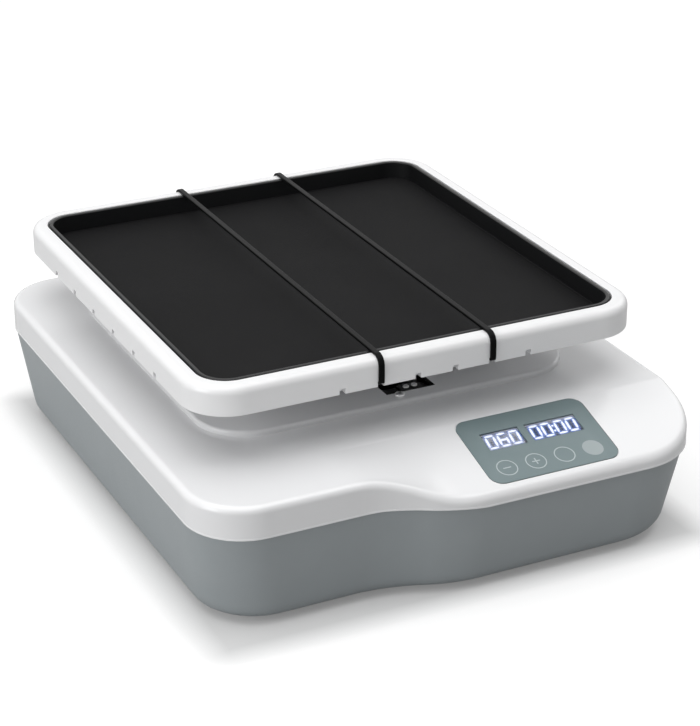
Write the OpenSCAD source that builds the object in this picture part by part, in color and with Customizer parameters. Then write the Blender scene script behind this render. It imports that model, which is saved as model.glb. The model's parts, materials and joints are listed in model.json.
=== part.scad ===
// Rocking platform shaker: a drafted tub under a smooth cover, a rimmed tray that rocks
// about an axis running front to back, and an eccentric drive in the tub.
// Frame: +Z up, console at -Y, origin on the ground under the centre of the base.

/* [Housing] */
// Width of the base at the seam
base_w = 284.4; // [270:0.1:300]
// Depth of the base at the seam, console included
base_d = 333; // [320:0.5:350]
// How far the console front stands ahead of the left front
console_step = 13.3; // [10:0.1:16]
// Plan radius of the back corners and the front left corner
corner_r = 32; // [28:0.5:36]
// Plan radius of the front right corner
console_r = 42; // [36:0.5:46]
// Radius of both arcs of the S-curve in the front
ogee_r = 76; // [70:1:85]
// Height of the tub from its underside to the seam
tub_h = 52; // [49:0.5:58]
// How far the tub wall leans in from seam to bottom
draft = 7; // [6:0.1:8]
// Edge radius round the bottom of the tub
tub_fillet = 8; // [7:0.1:9]
// How much rounder the tub's corners are at the bottom than at the seam
bottom_round = 10; // [6:0.5:11]
// Height of the cover from the seam to its flat top
cover_h = 17.6; // [16:0.1:20]
// How far the seam drops at the console front
seam_dip = 4.2; // [3:0.1:5]
// Edge radius round the top of the cover
cover_fillet = 5; // [4:0.1:5.5]
// Angle at which the console top falls to the front
slope_angle = 16; // [14:0.1:17]
// Wall thickness of the tub and the cover
wall_t = 2.5; // [2.2:0.1:2.8]
// Height of the rubber feet
foot_h = 3; // [2.5:0.1:5]
// Width of the low plateau under the tray
plateau_w = 216; // [205:1:225]
// Depth of the plateau
plateau_d = 211; // [206:1:216]
// Height of the plateau over the cover
plateau_h = 3; // [2.6:0.1:3.4]

/* [Tray] */
// Inner width of the tray between its rims
tray_in_w = 240; // [225:0.5:250]
// Inner depth of the tray
tray_in_d = 253; // [245:0.5:265]
// Inner plan radius of the tray corners
tray_in_r = 17; // [15:0.5:22]
// Width of the rim across its top
rim_w = 8.6; // [8.2:0.1:9.5]
// Height of the rim from its lower edge to its top
rim_h = 15.6; // [15:0.1:17]
// Outer edge radius of the rim
rim_fillet = 4.5; // [3.5:0.1:5]
// Wall thickness of the rim
rim_t = 2; // [1.8:0.1:2.2]
// Depth of the mat's surface under the rim top
mat_depth = 10; // [9:0.1:11]
// Thickness of the mat
mat_t = 2; // [1.6:0.1:2.5]
// Pitch of the band notches along the front and the back
notch_pitch = 21.5; // [20.5:0.1:22.5]
// Width of a band notch
notch_w = 3.4; // [3.4:0.1:4]
// Width of an elastic band
band_w = 3.2; // [2.8:0.1:3.2]
// Thickness of an elastic band
band_t = 1.6; // [1.2:0.1:1.8]

/* [Rocking drive] */
// Tilt of the tray to either side
rock_angle = 7; // [5:0.5:7]
// Height of the rocking axis over the plateau
pivot_h = 13.4; // [13:0.1:16]
// Sideways distance of the drive pin from the rocking axis
lever_arm = 14; // [13:0.1:15]
// Height of the motor shaft over the ground
motor_z = 40; // [38:0.1:42]
// Diameter of the pivot shaft
shaft_d = 8; // [7:0.1:8.5]
// Radial running clearance of the pivot shaft in its bushes
run_gap = 0.03; // [0.02:0.01:0.06]
// Radial clearance of the drive pin in the rod's upper eye
eye_gap = 1.05; // [1.05:0.05:1.2]

/* [Panel] */
// Width of the control panel overlay
panel_w = 75.8; // [74:0.1:78]
// Height of the overlay along the slope
panel_h = 48.9; // [47.5:0.1:49]
// Diameter of a touch key mark
key_d = 11.4; // [10:0.1:12]
// Pitch of the touch keys
key_pitch = 17; // [16.4:0.1:17.4]

/* [Hidden] */
$fn = 64;
e1 = 0.01;
// heights
tub_z0 = foot_h;
seam_z = foot_h + tub_h;
cover_z = seam_z + cover_h;
plat_z = cover_z + plateau_h;
pivot_z = plat_z + pivot_h;
plate_t = 3;
carrier_z = pivot_z + 11.5;
floor_z = carrier_z + plate_t;
floor_t = 2.5;
mat_z = floor_z + floor_t;
rim_z = mat_z + mat_t + mat_depth;
tub_in_z = tub_z0 + wall_t;
// plan positions
back_y = base_d / 2;
front_c = -base_d / 2;
front_l = front_c + console_step;
slope_y = front_c + 53;
tray_y = back_y - 144;
side_x = base_w / 2;
ogee_a = acos(1 - console_step / (2 * ogee_r));
ogee_x0 = -58;
ogee_x1 = ogee_x0 + 2 * ogee_r * sin(ogee_a);
console_z = seam_z - seam_dip;
tub_out = 0.6;
// drive opening in the plateau
open_x0 = -6;
open_x1 = 23;
open_y0 = tray_y - 96;
open_y1 = tray_y - 72;
// eccentric drive: the open eye is centred in its travel round the pin
throw = lever_arm * sin(rock_angle);
crank_x = lever_arm * (1 + cos(rock_angle)) / 2 - throw / 2;
rod_x = crank_x + throw;
rod_y = tray_y - 79.5;
rod_t = 5;
pin_d = 5;
// panel, in the console's own sloped frame
panel_x = 48.8;
panel_y = -0.4 - panel_h / 2;
recess = 0.6;
overlay_t = 0.8;
win_y = -18.7;
win_h = 13;
win_a = [32.3, 22.4];
win_b = [62.5, 30.1];
key_y = -39.2;
led_h = 7;
board_t = 1.6;
// screw posts and feet
posts = [[-side_x + 29, back_y - 29], [side_x - 29, back_y - 29],
  [-side_x + 29, front_l + 29], [side_x - 32, front_c + 34]];
feet = [[-side_x + 46, back_y - 42], [side_x - 46, back_y - 42],
  [-side_x + 46, front_l + 44], [side_x - 48, front_c + 48]];
post_z = tub_in_z + 7;
// pivot supports and carrier
ear_y = 38;
block_y = 50;
block_t = 10;
ear_t = 6;
car_w = 110;
car_d = 165;
frame_w = 76;
frame_y0 = tray_y - 62;
frame_y1 = tray_y + 62;
// rim notches along front and back, and along the sides
notch_x = [for (i = [0:5]) 2.8 + (i - 2.5) * notch_pitch];
notch_y = [for (i = [0:5]) tray_y - 0.7 + (i - 2.5) * 30];
out_w = tray_in_w + 2 * rim_w;
out_d = tray_in_d + 2 * rim_w;
// back panel pad for the inlet and the switch
pad_y = back_y - 10.5;
pad_x0 = 38;
pad_x1 = 98;
pad_z0 = tub_z0 + 13;
pad_z1 = tub_z0 + 41;
sw_x = 82;
sw_z = tub_z0 + 27;
dc_x = 55;

white = [0.95, 0.95, 0.95];
grey = [0.5, 0.55, 0.56];
black = [0.1, 0.1, 0.11];
steel = [0.72, 0.73, 0.74];

// ---- shared shapes ----

function arc(cx, cy, r, a0, a1, n, i0 = 0) =
  [for (i = [i0:n]) let (a = a0 + (a1 - a0) * i / n) [cx + r * cos(a), cy + r * sin(a)]];

// Plan of the base, inset by e and with g added to its corner radii, anticlockwise from
// the left side at the slope line
function outline(e, g = 0, n = 9) = let (r = corner_r + g, c = console_r + g) concat(
  [[-side_x + e, max(slope_y, front_l + r + 1)]],
  arc(-side_x + r, front_l + r, r - e, 180, 270, n),
  arc(ogee_x0, front_l - ogee_r, ogee_r + e, 90, 90 - ogee_a, 8),
  arc(ogee_x1, front_c + ogee_r, ogee_r - e, 270 - ogee_a, 270, 8, 1),
  arc(side_x - c, front_c + c, c - e, 270, 360, n + 1),
  [[side_x - e, max(slope_y, front_c + c + 1)]],
  arc(side_x - r, back_y - r, r - e, 0, 90, n),
  arc(-side_x + r, back_y - r, r - e, 90, 180, n));
// what the corners gain below the seam
function grown(z) = bottom_round * max(0, seam_z - z) / tub_h;
// index of the right hand point on the slope line
function turn(n = 9) = 1 + (n + 1) + 9 + 8 + (n + 2);

// Share of the slope that is present at x: none at the left front, all at the console
function blend(x) = let (t = min(1, max(0, (x - ogee_x0 + 6) / (ogee_x1 - ogee_x0 - 6))))
  t * t * (3 - 2 * t);
function roof(p) = -max(0, slope_y - p[1]) * tan(slope_angle) * blend(p[0]);

function rings_to_faces(m, k) = [for (j = [0:k - 2]) for (i = [0:m - 1])
  let (a = j * m + i, b = j * m + (i + 1) % m)
  each [[a, a + m, b], [b, a + m, b + m]]];

// Closed skin through flat rings [inset, z]
module ring_skin(levels) {
  m = len(outline(0));
  pts = [for (l = levels) for (p = outline(l[0], grown(l[1]))) [p[0], p[1], l[1]]];
  polyhedron(points = pts, faces = concat(rings_to_faces(m, len(levels)),
    [[for (i = [0:m - 1]) i], [for (i = [m - 1:-1:0]) (len(levels) - 1) * m + i]]));
}

// Skin of the cover: upright wall, rounded edge, flat top that falls over the console
module cover_skin(inset, lower, fillet, z0, steps) {
  m = len(outline(0));
  b = turn();
  edge = [for (s = [0:steps]) let (a = 90 * s / steps)
    [inset + fillet * (1 - cos(a)), lower + fillet * (1 - sin(a))]];
  base = [for (p = outline(inset)) [p[0], p[1], z0]];
  walls = [for (l = edge) for (p = outline(l[0])) [p[0], p[1], cover_z + roof(p) - l[1]]];
  last = outline(inset + fillet);
  spine = [for (i = [2:b - 2]) [last[i][0], slope_y, cover_z - lower]];
  top = (steps + 1) * m;
  sp = (steps + 2) * m;
  polyhedron(points = concat(base, walls, spine), faces = concat(
    rings_to_faces(m, steps + 2),
    [[for (i = [0:m - 1]) i]],
    [for (i = [1:b - 2]) let (p = top + i, q = top + i + 1,
        tp = i == 1 ? top : sp + i - 2, tq = i == b - 2 ? top + b : sp + i - 1)
      each [[p, tq, q], [p, tp, tq]]],
    [[for (i = [m - 1:-1:b]) top + i, for (i = [b - 2:-1:2]) sp + i - 2, top]]));
}

// Everything above the seam: level behind, lower along the console front
module above_seam(h = 60, x_out = 400) {
  intersection() {
    translate([0, 400, 0]) rotate([90, 0, 0]) linear_extrude(height = 800)
      polygon([[-x_out, seam_z], [ogee_x0 + 10, seam_z], [ogee_x1 + 4, console_z],
        [x_out, console_z], [x_out, seam_z + h], [-x_out, seam_z + h]]);
    translate([-x_out, 0, 0]) rotate([90, 0, 90]) linear_extrude(height = 2 * x_out)
      polygon([[-400, console_z], [front_c + 20, console_z], [front_c + 60, seam_z],
        [400, seam_z], [400, seam_z + h], [-400, seam_z + h]]);
  }
}

module round_rect(w, d, r) {
  union() {
    square([w - 2 * r, d], center = true);
    square([w, d - 2 * r], center = true);
    for (x = [-1, 1], y = [-1, 1]) translate([x * (w / 2 - r), y * (d / 2 - r)]) circle(r = r);
  }
}
module slab(w, d, r, h) { linear_extrude(height = h) round_rect(w, d, r); }

// Sweeps a section round a rounded rectangle; section x points outward from the path
module rim_sweep(w, d, r) {
  for (s = [0, 180]) rotate(s) {
    translate([-(w / 2 - r), d / 2, 0]) rotate([90, 0, 90])
      linear_extrude(height = w - 2 * r) children();
    translate([w / 2, d / 2 - r, 0]) rotate([90, 0, 0]) linear_extrude(height = d - 2 * r)
      children();
    translate([w / 2 - r, d / 2 - r, 0]) rotate_extrude(angle = 90)
      translate([r, 0]) children();
    translate([-(w / 2 - r), d / 2 - r, 0]) rotate([0, 0, 90]) rotate_extrude(angle = 90)
      translate([r, 0]) children();
  }
}
module at(list) { for (p = list) translate([p[0], p[1], 0]) children(); }
module rod_along_y(d, y0, y1) { translate([0, y1, 0]) rotate([90, 0, 0]) cylinder(d = d, h = y1 - y0); }
module rod_along_x(d, x0, x1) { translate([x0, 0, 0]) rotate([0, 90, 0]) cylinder(d = d, h = x1 - x0); }
module on_slope() { translate([0, slope_y, cover_z]) rotate([slope_angle, 0, 0]) children(); }

// Screw pointing up, its head below z = 0
module screw_up(d, len, head_d, head_h) {
  translate([0, 0, -head_h]) difference() {
    cylinder(d = head_d, h = head_h);
    translate([0, 0, -e1]) cylinder(d = head_d * 0.45, h = head_h * 0.5, $fn = 6);
  }
  cylinder(d = d, h = len);
}
module screw_down(d, len, head_d, head_h) { rotate([180, 0, 0]) screw_up(d, len, head_d, head_h); }

// ---- housing ----

// Rings of the tub's skin, t in from its outside: rounded bottom edge, then leaning wall
function tub_rings(t) = let (low = tub_out + draft, r = tub_fillet - t) concat(
  [for (a = [90, 60, 30]) [low + tub_fillet - r * cos(a), tub_z0 + tub_fillet - r * sin(a)]],
  [[low + t - draft * tub_fillet / tub_h, tub_z0 + tub_fillet],
    [tub_out + t, seam_z], [tub_out + t, seam_z + 2 + t]]);
module tub() color(grey) {
  difference() {
    ring_skin(tub_rings(0));
    difference() {
      ring_skin(tub_rings(wall_t));
      // pad for the inlet and the switch
      translate([pad_x0, pad_y - 3, pad_z0 - 2])
        cube([pad_x1 - pad_x0, 30, pad_z1 - pad_z0 + 4]);
      at(posts) cylinder(d = 10, h = post_z);
      at(feet) cylinder(d = 8, h = tub_in_z + 6);
    }
    above_seam();
    translate([pad_x0 + 2.5, pad_y, pad_z0 + 1])
      cube([pad_x1 - pad_x0 - 5, 30, pad_z1 - pad_z0 - 2]);
    at(posts) {
      cylinder(d = 3.4, h = 60);
      cylinder(d = 7, h = tub_z0 + 4);
    }
    at(feet) cylinder(d = 3, h = tub_z0 + 7);
    translate([dc_x, 0, sw_z]) rod_along_y(11, pad_y - 5, pad_y + 5);
    translate([sw_x - 9.5, pad_y - 5, sw_z - 6.5]) cube([19, 10, 13]);
    for (p = frame_holes()) translate([p[0], p[1], tub_z0 + 1]) cylinder(d = 4, h = 10);
    for (p = bracket_holes()) translate([p[0], p[1], tub_z0 + 1]) cylinder(d = 4, h = 10);
  }
}

module plateau_shape(inset, z0, z1, fillet) {
  w = plateau_w - 2 * inset;
  d = plateau_d - 2 * inset;
  r = 30 - inset;
  translate([0, tray_y, 0]) {
    translate([0, 0, z0]) slab(w, d, r, z1 - fillet - z0);
    translate([0, 0, z1 - fillet - e1]) slab(w - 2 * fillet, d - 2 * fillet, r - fillet, fillet + e1);
    translate([0, 0, z1 - fillet]) rim_sweep(w - 2 * fillet, d - 2 * fillet, r - fillet)
      intersection() {
        circle(r = fillet);
        translate([-e1, -e1]) square(fillet + 1);
      }
  }
}

module top_cover() color(white) {
  difference() {
    union() {
      difference() {
        cover_skin(0, 0, cover_fillet, console_z - 3, 5);
        cover_skin(wall_t, wall_t, cover_fillet - wall_t + 0.6, console_z - 6, 3);
      }
      plateau_shape(0, cover_z - 1, plat_z, 1.6);
      at(posts) translate([0, 0, post_z]) cylinder(d = 8, h = 30);
      for (p = posts) translate([p[0], p[1], post_z])
        cylinder(d = 7, h = cover_z + roof(p) - wall_t / 2 - post_z);
      on_slope() for (x = [-1, 1], y = [-1, 1])
        translate([panel_x + x * 34, panel_y + y * 18, -led_h - recess])
          cylinder(d = 6, h = led_h + recess - 1.2);
    }
    // all below the seam but the posts
    difference() {
      translate([-300, -300, console_z - 10]) cube([600, 600, seam_z - console_z + 14]);
      above_seam();
      at(posts) cylinder(d = 9, h = 100);
    }
    plateau_shape(wall_t, cover_z - wall_t - 1, plat_z - wall_t, 0.6);
    translate([open_x0, open_y0, cover_z - 6]) cube([open_x1 - open_x0, open_y1 - open_y0, 12]);
    at(posts) cylinder(d = 3, h = post_z + 12);
    translate([0, open_y0 - 3.4, 0]) cylinder(d = 3, h = 200);
    for (p = block_holes()) translate([p[0], p[1], cover_z - 8]) cylinder(d = 4.4, h = 20);
    on_slope() {
      translate([panel_x, panel_y, -recess]) slab(panel_w + 0.6, panel_h + 0.6, 7.3, 4);
      for (w = [win_a, win_b]) translate([w[0] - w[1] / 2 - 0.4, win_y - win_h / 2 - 0.8, -9])
        cube([w[1] + 0.8, win_h + 1.6, 12]);
      for (x = [-1, 1], y = [-1, 1]) translate([panel_x + x * 34, panel_y + y * 18, -10])
        cylinder(d = 2.5, h = 8);
    }
  }
}

module base_feet() color(black) at(feet) difference() {
  cylinder(d = 18, h = foot_h);
  translate([0, 0, -1]) cylinder(d = 3.4, h = foot_h + 2);
  translate([0, 0, -1]) cylinder(d = 7, h = foot_h - 0.2);
}
module foot_screws() color(steel) at(feet) translate([0, 0, foot_h - 1.2]) screw_up(3, 7.5, 6, 1.1);
module cover_screws() color(steel) at(posts) translate([0, 0, tub_z0 + 4]) screw_up(3, 14, 5.6, 3);

// ---- panel ----

module control_panel() color([0.42, 0.49, 0.5]) on_slope() difference() {
  translate([panel_x, panel_y, -recess]) slab(panel_w, panel_h, 7, overlay_t);
  for (w = [win_a, win_b]) translate([w[0] - w[1] / 2, win_y - win_h / 2, -3])
    cube([w[1], win_h, 6]);
}
module led_block(w) translate([w[0] - w[1] / 2, win_y - win_h / 2 - 0.5, -led_h - recess])
  cube([w[1], win_h + 1, led_h]);
module speed_display() color([0.03, 0.04, 0.08]) on_slope() led_block(win_a);
module time_display() color([0.03, 0.04, 0.08]) on_slope() led_block(win_b);

// One seven-segment digit, lit segments by index: top, upper right, lower right,
// bottom, lower left, upper left, middle
module digit(on) {
  w = 4.6;
  h = 8.8;
  t = 0.9;
  s = [[w / 2, h, 0], [w, h * 0.75, 90], [w, h * 0.25, 90], [w / 2, 0, 0],
    [0, h * 0.25, 90], [0, h * 0.75, 90], [w / 2, h / 2, 0]];
  for (i = on) translate([s[i][0], s[i][1]]) rotate(s[i][2])
    square([s[i][2] == 0 ? w - t : h / 2 - t, t], center = true);
}
module lit_segments() color([0.85, 0.92, 1]) on_slope()
  translate([0, win_y - 4.4, -recess]) linear_extrude(height = 0.15) {
    zero = [0, 1, 2, 3, 4, 5];
    six = [0, 2, 3, 4, 5, 6];
    for (i = [0:2]) translate([win_a[0] - 9.2 + i * 7, 0]) digit(i == 1 ? six : zero);
    for (i = [0:3]) translate([win_b[0] - 12.8 + i * 6.8 + (i > 1 ? 1 : 0), 0]) digit(zero);
    for (y = [2.4, 6]) translate([win_b[0] + 0.7, y]) circle(d = 1, $fn = 16);
  }
module key_marks() color([0.72, 0.77, 0.78]) on_slope()
  translate([panel_x, key_y, overlay_t - recess]) linear_extrude(height = 0.12) {
    for (i = [0:2]) translate([(i - 1.5) * key_pitch, 0]) difference() {
      circle(d = key_d);
      circle(d = key_d - 0.9);
    }
    translate([-1.5 * key_pitch, 0]) square([4.4, 0.7], center = true);
    translate([-0.5 * key_pitch, 0]) square([4.4, 0.7], center = true);
    translate([-0.5 * key_pitch, 0]) square([0.7, 4.4], center = true);
    translate([1.5 * key_pitch, 0]) circle(d = key_d);
  }
module control_board() color([0.05, 0.3, 0.15]) on_slope() difference() {
  translate([panel_x - 38, panel_y - 21.5, -led_h - recess - board_t]) cube([76, 43, board_t]);
  for (x = [-1, 1], y = [-1, 1]) translate([panel_x + x * 34, panel_y + y * 18, -12])
    cylinder(d = 2.5, h = 8);
}
module board_screws() color(steel) on_slope() for (x = [-1, 1], y = [-1, 1])
  translate([panel_x + x * 34, panel_y + y * 18, -led_h - recess - board_t])
    screw_up(2.5, 5, 4.5, 1.6);

module drive_board() color([0.05, 0.3, 0.15]) translate([-side_x + 32.2, tray_y - 20, tub_in_z]) {
  translate([0, 0, 5]) cube([50, 70, 1.6]);
  for (x = [4, 46], y = [4, 66]) translate([x, y, 0]) cylinder(d = 6, h = 5);
  translate([8, 10, 6.6]) cube([18, 22, 12]);
  for (y = [42, 58]) translate([36, y, 6.6]) cylinder(d = 10, h = 14);
}
module dc_inlet() color(black) translate([dc_x, 0, sw_z]) difference() {
  union() {
    rod_along_y(14, pad_y, pad_y + 1.5);
    rod_along_y(11, pad_y - 15, pad_y);
  }
  difference() {
    rod_along_y(6.4, pad_y - 8, pad_y + 3);
    rod_along_y(2, pad_y - 9, pad_y - 0.5);
  }
}
module switch_frame() color(black) translate([sw_x, 0, sw_z]) difference() {
  union() {
    translate([-10.5, pad_y, -7.5]) cube([21, 1.5, 15]);
    translate([-9.5, pad_y - 14, -6.5]) cube([19, 14, 13]);
  }
  translate([-7.5, pad_y - 7, -4.5]) cube([15, 12, 9]);
  translate([0, pad_y - 2, -5.6]) cylinder(d = 2.1, h = 11.2);
}
// The rocker turns about an axis across the wall, parallel to Z
module switch_rocker() color([0.16, 0.16, 0.17]) translate([sw_x, 0, sw_z]) {
  translate([0, 0, -4.1]) linear_extrude(height = 8.2) difference() {
    union() {
      translate([0, pad_y - 2]) circle(r = 2);
      polygon([[-6.6, pad_y + 2.4], [0, pad_y + 1], [6.6, pad_y + 0.6], [6.4, pad_y - 1.6],
        [0, pad_y - 3.4], [-6.4, pad_y - 1.6]]);
    }
    translate([0, pad_y + 36.2]) circle(r = 35, $fn = 96);
  }
  translate([0, pad_y - 2, -5.5]) cylinder(d = 2, h = 11);
}

// ---- support and drive ----

function frame_holes() = [for (x = [-1, 1], y = [frame_y0 + 10, frame_y1 - 10]) [x * (frame_w / 2 + 8), y]];
function bracket_holes() = [for (x = [crank_x - 12, crank_x + 12]) [x, rod_y + 28]];
function block_holes() = [for (x = [-18, 18], s = [-1, 1]) [x, tray_y + s * block_y]];
frame_top = plat_z - wall_t;

module support_frame() color(steel) difference() {
  union() {
    translate([-frame_w / 2, frame_y0, frame_top - plate_t])
      cube([frame_w, frame_y1 - frame_y0, plate_t]);
    for (s = [0, 1], y = [frame_y0, frame_y1 - 20]) mirror([s, 0, 0]) {
      translate([frame_w / 2 - 3, y, tub_in_z]) cube([3, 20, frame_top - tub_in_z - 1]);
      translate([frame_w / 2 - 3, y, tub_in_z]) cube([18, 20, 3]);
    }
  }
  for (p = frame_holes()) translate([p[0], p[1], 0]) cylinder(d = 4.4, h = 30);
  for (p = block_holes()) translate([p[0], p[1], 40]) cylinder(d = 4, h = 60);
}
module frame_screws() color(steel) {
  for (p = frame_holes()) translate([p[0], p[1], tub_in_z + 3]) screw_down(4, 4.3, 7, 2.4);
  for (p = bracket_holes()) translate([p[0], p[1], tub_in_z + 3]) screw_down(4, 4.3, 7, 2.4);
}

plate_y = rod_y + 12;
module motor_bracket() color(steel) difference() {
  union() {
    translate([crank_x - 20, plate_y, tub_in_z]) cube([40, 3, motor_z + 20 - tub_in_z]);
    translate([crank_x - 20, plate_y, tub_in_z]) cube([40, 24, 3]);
  }
  translate([crank_x, 0, motor_z]) rod_along_y(12, plate_y - 1, plate_y + 4);
  for (p = bracket_holes()) translate([p[0], p[1], 0]) cylinder(d = 4.4, h = 30);
  for (a = [30:60:330]) translate([crank_x, 0, motor_z]) rotate([0, a, 0])
    translate([15.5, 0, 0]) rod_along_y(3, plate_y - 1, plate_y + 4);
}
module gear_motor() color([0.6, 0.61, 0.62]) translate([crank_x, 0, motor_z]) {
  rod_along_y(12, plate_y, plate_y + 3);
  difference() {
    rod_along_y(37, plate_y + 3, plate_y + 27);
    for (a = [30:60:330]) rotate([0, a, 0]) translate([15.5, 0, 0])
      rod_along_y(3, plate_y + 2, plate_y + 8);
  }
  rod_along_y(33, plate_y + 27, plate_y + 57);
  rod_along_y(10, plate_y + 57, plate_y + 60);
  for (x = [-8, 8]) translate([x - 1.5, plate_y + 57, -0.4]) cube([3, 5, 0.8]);
}
module motor_screws() color(steel) for (a = [30:60:330]) translate([crank_x, 0, motor_z])
  rotate([0, a, 0]) translate([15.5, plate_y, 0]) rotate([-90, 0, 0]) screw_up(3, 6, 5.5, 2.2);

hub_y1 = rod_y + 10;
module crank_hub() color(steel) difference() {
  union() {
    translate([crank_x, 0, motor_z]) rod_along_y(22, rod_y + 3.5, hub_y1);
    translate([crank_x, 0, motor_z]) rod_along_y(6, hub_y1 - 7, plate_y);
    translate([rod_x, 0, motor_z]) {
      rod_along_y(12.5, rod_y + 2.7, rod_y + 3.5);
      rod_along_y(10, rod_y - 3, rod_y + 3.5);
      rod_along_y(13, rod_y - 4.2, rod_y - 2.8);
    }
  }
  translate([crank_x, (rod_y + 3.5 + hub_y1) / 2, motor_z + 4]) cylinder(d = 3, h = 20);
}
module crank_set_screw() color([0.2, 0.2, 0.22])
  translate([crank_x, (rod_y + 3.5 + hub_y1) / 2, motor_z + 4]) difference() {
    cylinder(d = 3, h = 6);
    translate([0, 0, 4]) cylinder(d = 1.5, h = 3, $fn = 6);
  }
module rod_bearing() color([0.8, 0.8, 0.82]) translate([rod_x, 0, motor_z]) difference() {
  rod_along_y(19, rod_y - rod_t / 2, rod_y + rod_t / 2);
  rod_along_y(10.04, rod_y - 5, rod_y + 5);
  for (y = [rod_y - rod_t / 2, rod_y + rod_t / 2 - 0.4]) difference() {
    rod_along_y(16.5, y - 0.4 + (y < rod_y ? 0 : 0.4), y + 0.4 + (y < rod_y ? 0 : 0.4));
    rod_along_y(12.6, y - 2, y + 2);
  }
}
module drive_rod() color([0.75, 0.76, 0.78]) translate([rod_x, 0, 0]) difference() {
  union() {
    translate([0, 0, motor_z]) rod_along_y(26, rod_y - rod_t / 2, rod_y + rod_t / 2);
    translate([0, 0, pivot_z]) rod_along_y(13, rod_y - rod_t / 2, rod_y + rod_t / 2);
    translate([-4.5, rod_y - rod_t / 2, motor_z + 8]) cube([9, rod_t, pivot_z - motor_z - 12]);
  }
  translate([0, 0, motor_z]) rod_along_y(19, rod_y - 5, rod_y + 5);
  translate([0, 0, pivot_z]) rod_along_y(pin_d + 2 * eye_gap, rod_y - 5, rod_y + 5);
}

module pivot_block(y) translate([0, tray_y + y - block_t / 2, 0]) difference() {
  union() {
    translate([-24, 0, plat_z]) cube([48, block_t, 4]);
    translate([-9.5, 0, plat_z + 3]) cube([19, block_t, pivot_h - 3]);
    translate([0, 0, pivot_z]) rod_along_y(19, 0, block_t);
  }
  translate([0, 0, pivot_z]) rod_along_y(shaft_d + 4, -1, block_t + 1);
  for (x = [-18, 18]) translate([x, block_t / 2, plat_z - 1]) cylinder(d = 4.4, h = 8);
}
module pivot_block_front() color([0.75, 0.76, 0.78]) pivot_block(-block_y);
module pivot_block_rear() color([0.75, 0.76, 0.78]) pivot_block(block_y);
module pivot_bushes() color([0.72, 0.55, 0.28]) for (s = [0, 1])
  translate([0, tray_y, pivot_z]) mirror([0, s, 0]) difference() {
    union() {
      rod_along_y(shaft_d + 4, block_y - block_t / 2, block_y + block_t / 2);
      rod_along_y(shaft_d + 7, block_y - block_t / 2 - 1, block_y - block_t / 2);
    }
    rod_along_y(shaft_d + 2 * run_gap, block_y - 10, block_y + 10);
  }
module block_screws() color(steel) for (p = block_holes())
  translate([p[0], p[1], plat_z + 4]) screw_down(4, 9.4, 7, 2.6);

module sensor_bracket() color(black) difference() {
  translate([-6, open_y0 - 6, frame_top - 2.5]) cube([27, 16.5, 2.5]);
  translate([0, open_y0 - 3.4, 0]) cylinder(d = 3, h = 200);
}
module home_sensor() color([0.13, 0.13, 0.14])
  translate([4.5, open_y0 + 2, frame_top]) cube([13, 8, 1.6]);
module sensor_screws() color(steel) for (x = [8.5, 13.5])
  translate([x, open_y0 + 6, frame_top + 1.6]) cylinder(d = 3.4, h = 1.3);
module opening_screw() color(steel) translate([0, open_y0 - 3.4, plat_z]) screw_down(3, 5, 5.5, 2);

// ---- tray ----

module pivot_shaft() color(steel) translate([0, 0, pivot_z])
  rod_along_y(shaft_d, tray_y - block_y - 6.5, tray_y + block_y + 6.5);
module tray_carrier() color([0.7, 0.71, 0.73]) difference() {
  union() {
    translate([0, tray_y, carrier_z]) slab(car_w, car_d, 8, plate_t);
    for (s = [-1, 1]) translate([0, tray_y + s * ear_y - ear_t / 2, 0]) {
      translate([-11, 0, pivot_z]) cube([22, ear_t, carrier_z - pivot_z + 1]);
      translate([0, 0, pivot_z]) rod_along_y(22, 0, ear_t);
    }
  }
  translate([0, 0, pivot_z]) rod_along_y(shaft_d, tray_y - 60, tray_y + 60);
  for (p = carrier_holes()) translate([p[0], p[1], carrier_z - 1]) cylinder(d = 4.4, h = 6);
  for (s = [-1, 1]) translate([0, tray_y + s * ear_y, pivot_z]) rod_along_x(3.5, -15, 0);
  for (x = [lever_arm - 10, lever_arm + 10]) translate([x, rod_y + 9, carrier_z - 1]) cylinder(d = 3, h = 6);
}
function carrier_holes() = [for (x = [-1, 1], y = [-1, 1]) [x * (car_w / 2 - 10), tray_y + y * (car_d / 2 - 12)]];
module carrier_screws() color(steel) for (p = carrier_holes())
  translate([p[0], p[1], carrier_z]) screw_up(4, plate_t + floor_t, 7, 2.4);
module ear_screws() color([0.2, 0.2, 0.22]) for (s = [-1, 1])
  translate([0, tray_y + s * ear_y, pivot_z]) rod_along_x(3.5, -9.5, -shaft_d / 2);

module drive_lug() color([0.7, 0.71, 0.73]) difference() {
  union() {
    translate([lever_arm - 14, rod_y + 5, carrier_z - 3]) cube([28, 8, 3]);
    translate([lever_arm - 6.5, rod_y + 5, pivot_z]) cube([13, 6, carrier_z - pivot_z - 1]);
    translate([lever_arm, 0, pivot_z]) rod_along_y(13, rod_y + 5, rod_y + 11);
  }
  translate([lever_arm, 0, pivot_z]) rod_along_y(pin_d, rod_y, rod_y + 20);
  for (x = [lever_arm - 10, lever_arm + 10]) translate([x, rod_y + 9, carrier_z - 5]) cylinder(d = 3.4, h = 8);
}
module lug_screws() color(steel) for (x = [lever_arm - 10, lever_arm + 10])
  translate([x, rod_y + 9, carrier_z - 3]) screw_up(3, 5.5, 5.5, 1.8);
module lug_pin() color([0.8, 0.8, 0.82]) translate([lever_arm, 0, pivot_z]) {
  rod_along_y(pin_d, rod_y - 4.6, rod_y + 11);
  rod_along_y(pin_d + 4.4, rod_y + 3, rod_y + 5);
  rod_along_y(pin_d + 4.4, rod_y - 4.6, rod_y - 3);
}

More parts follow.
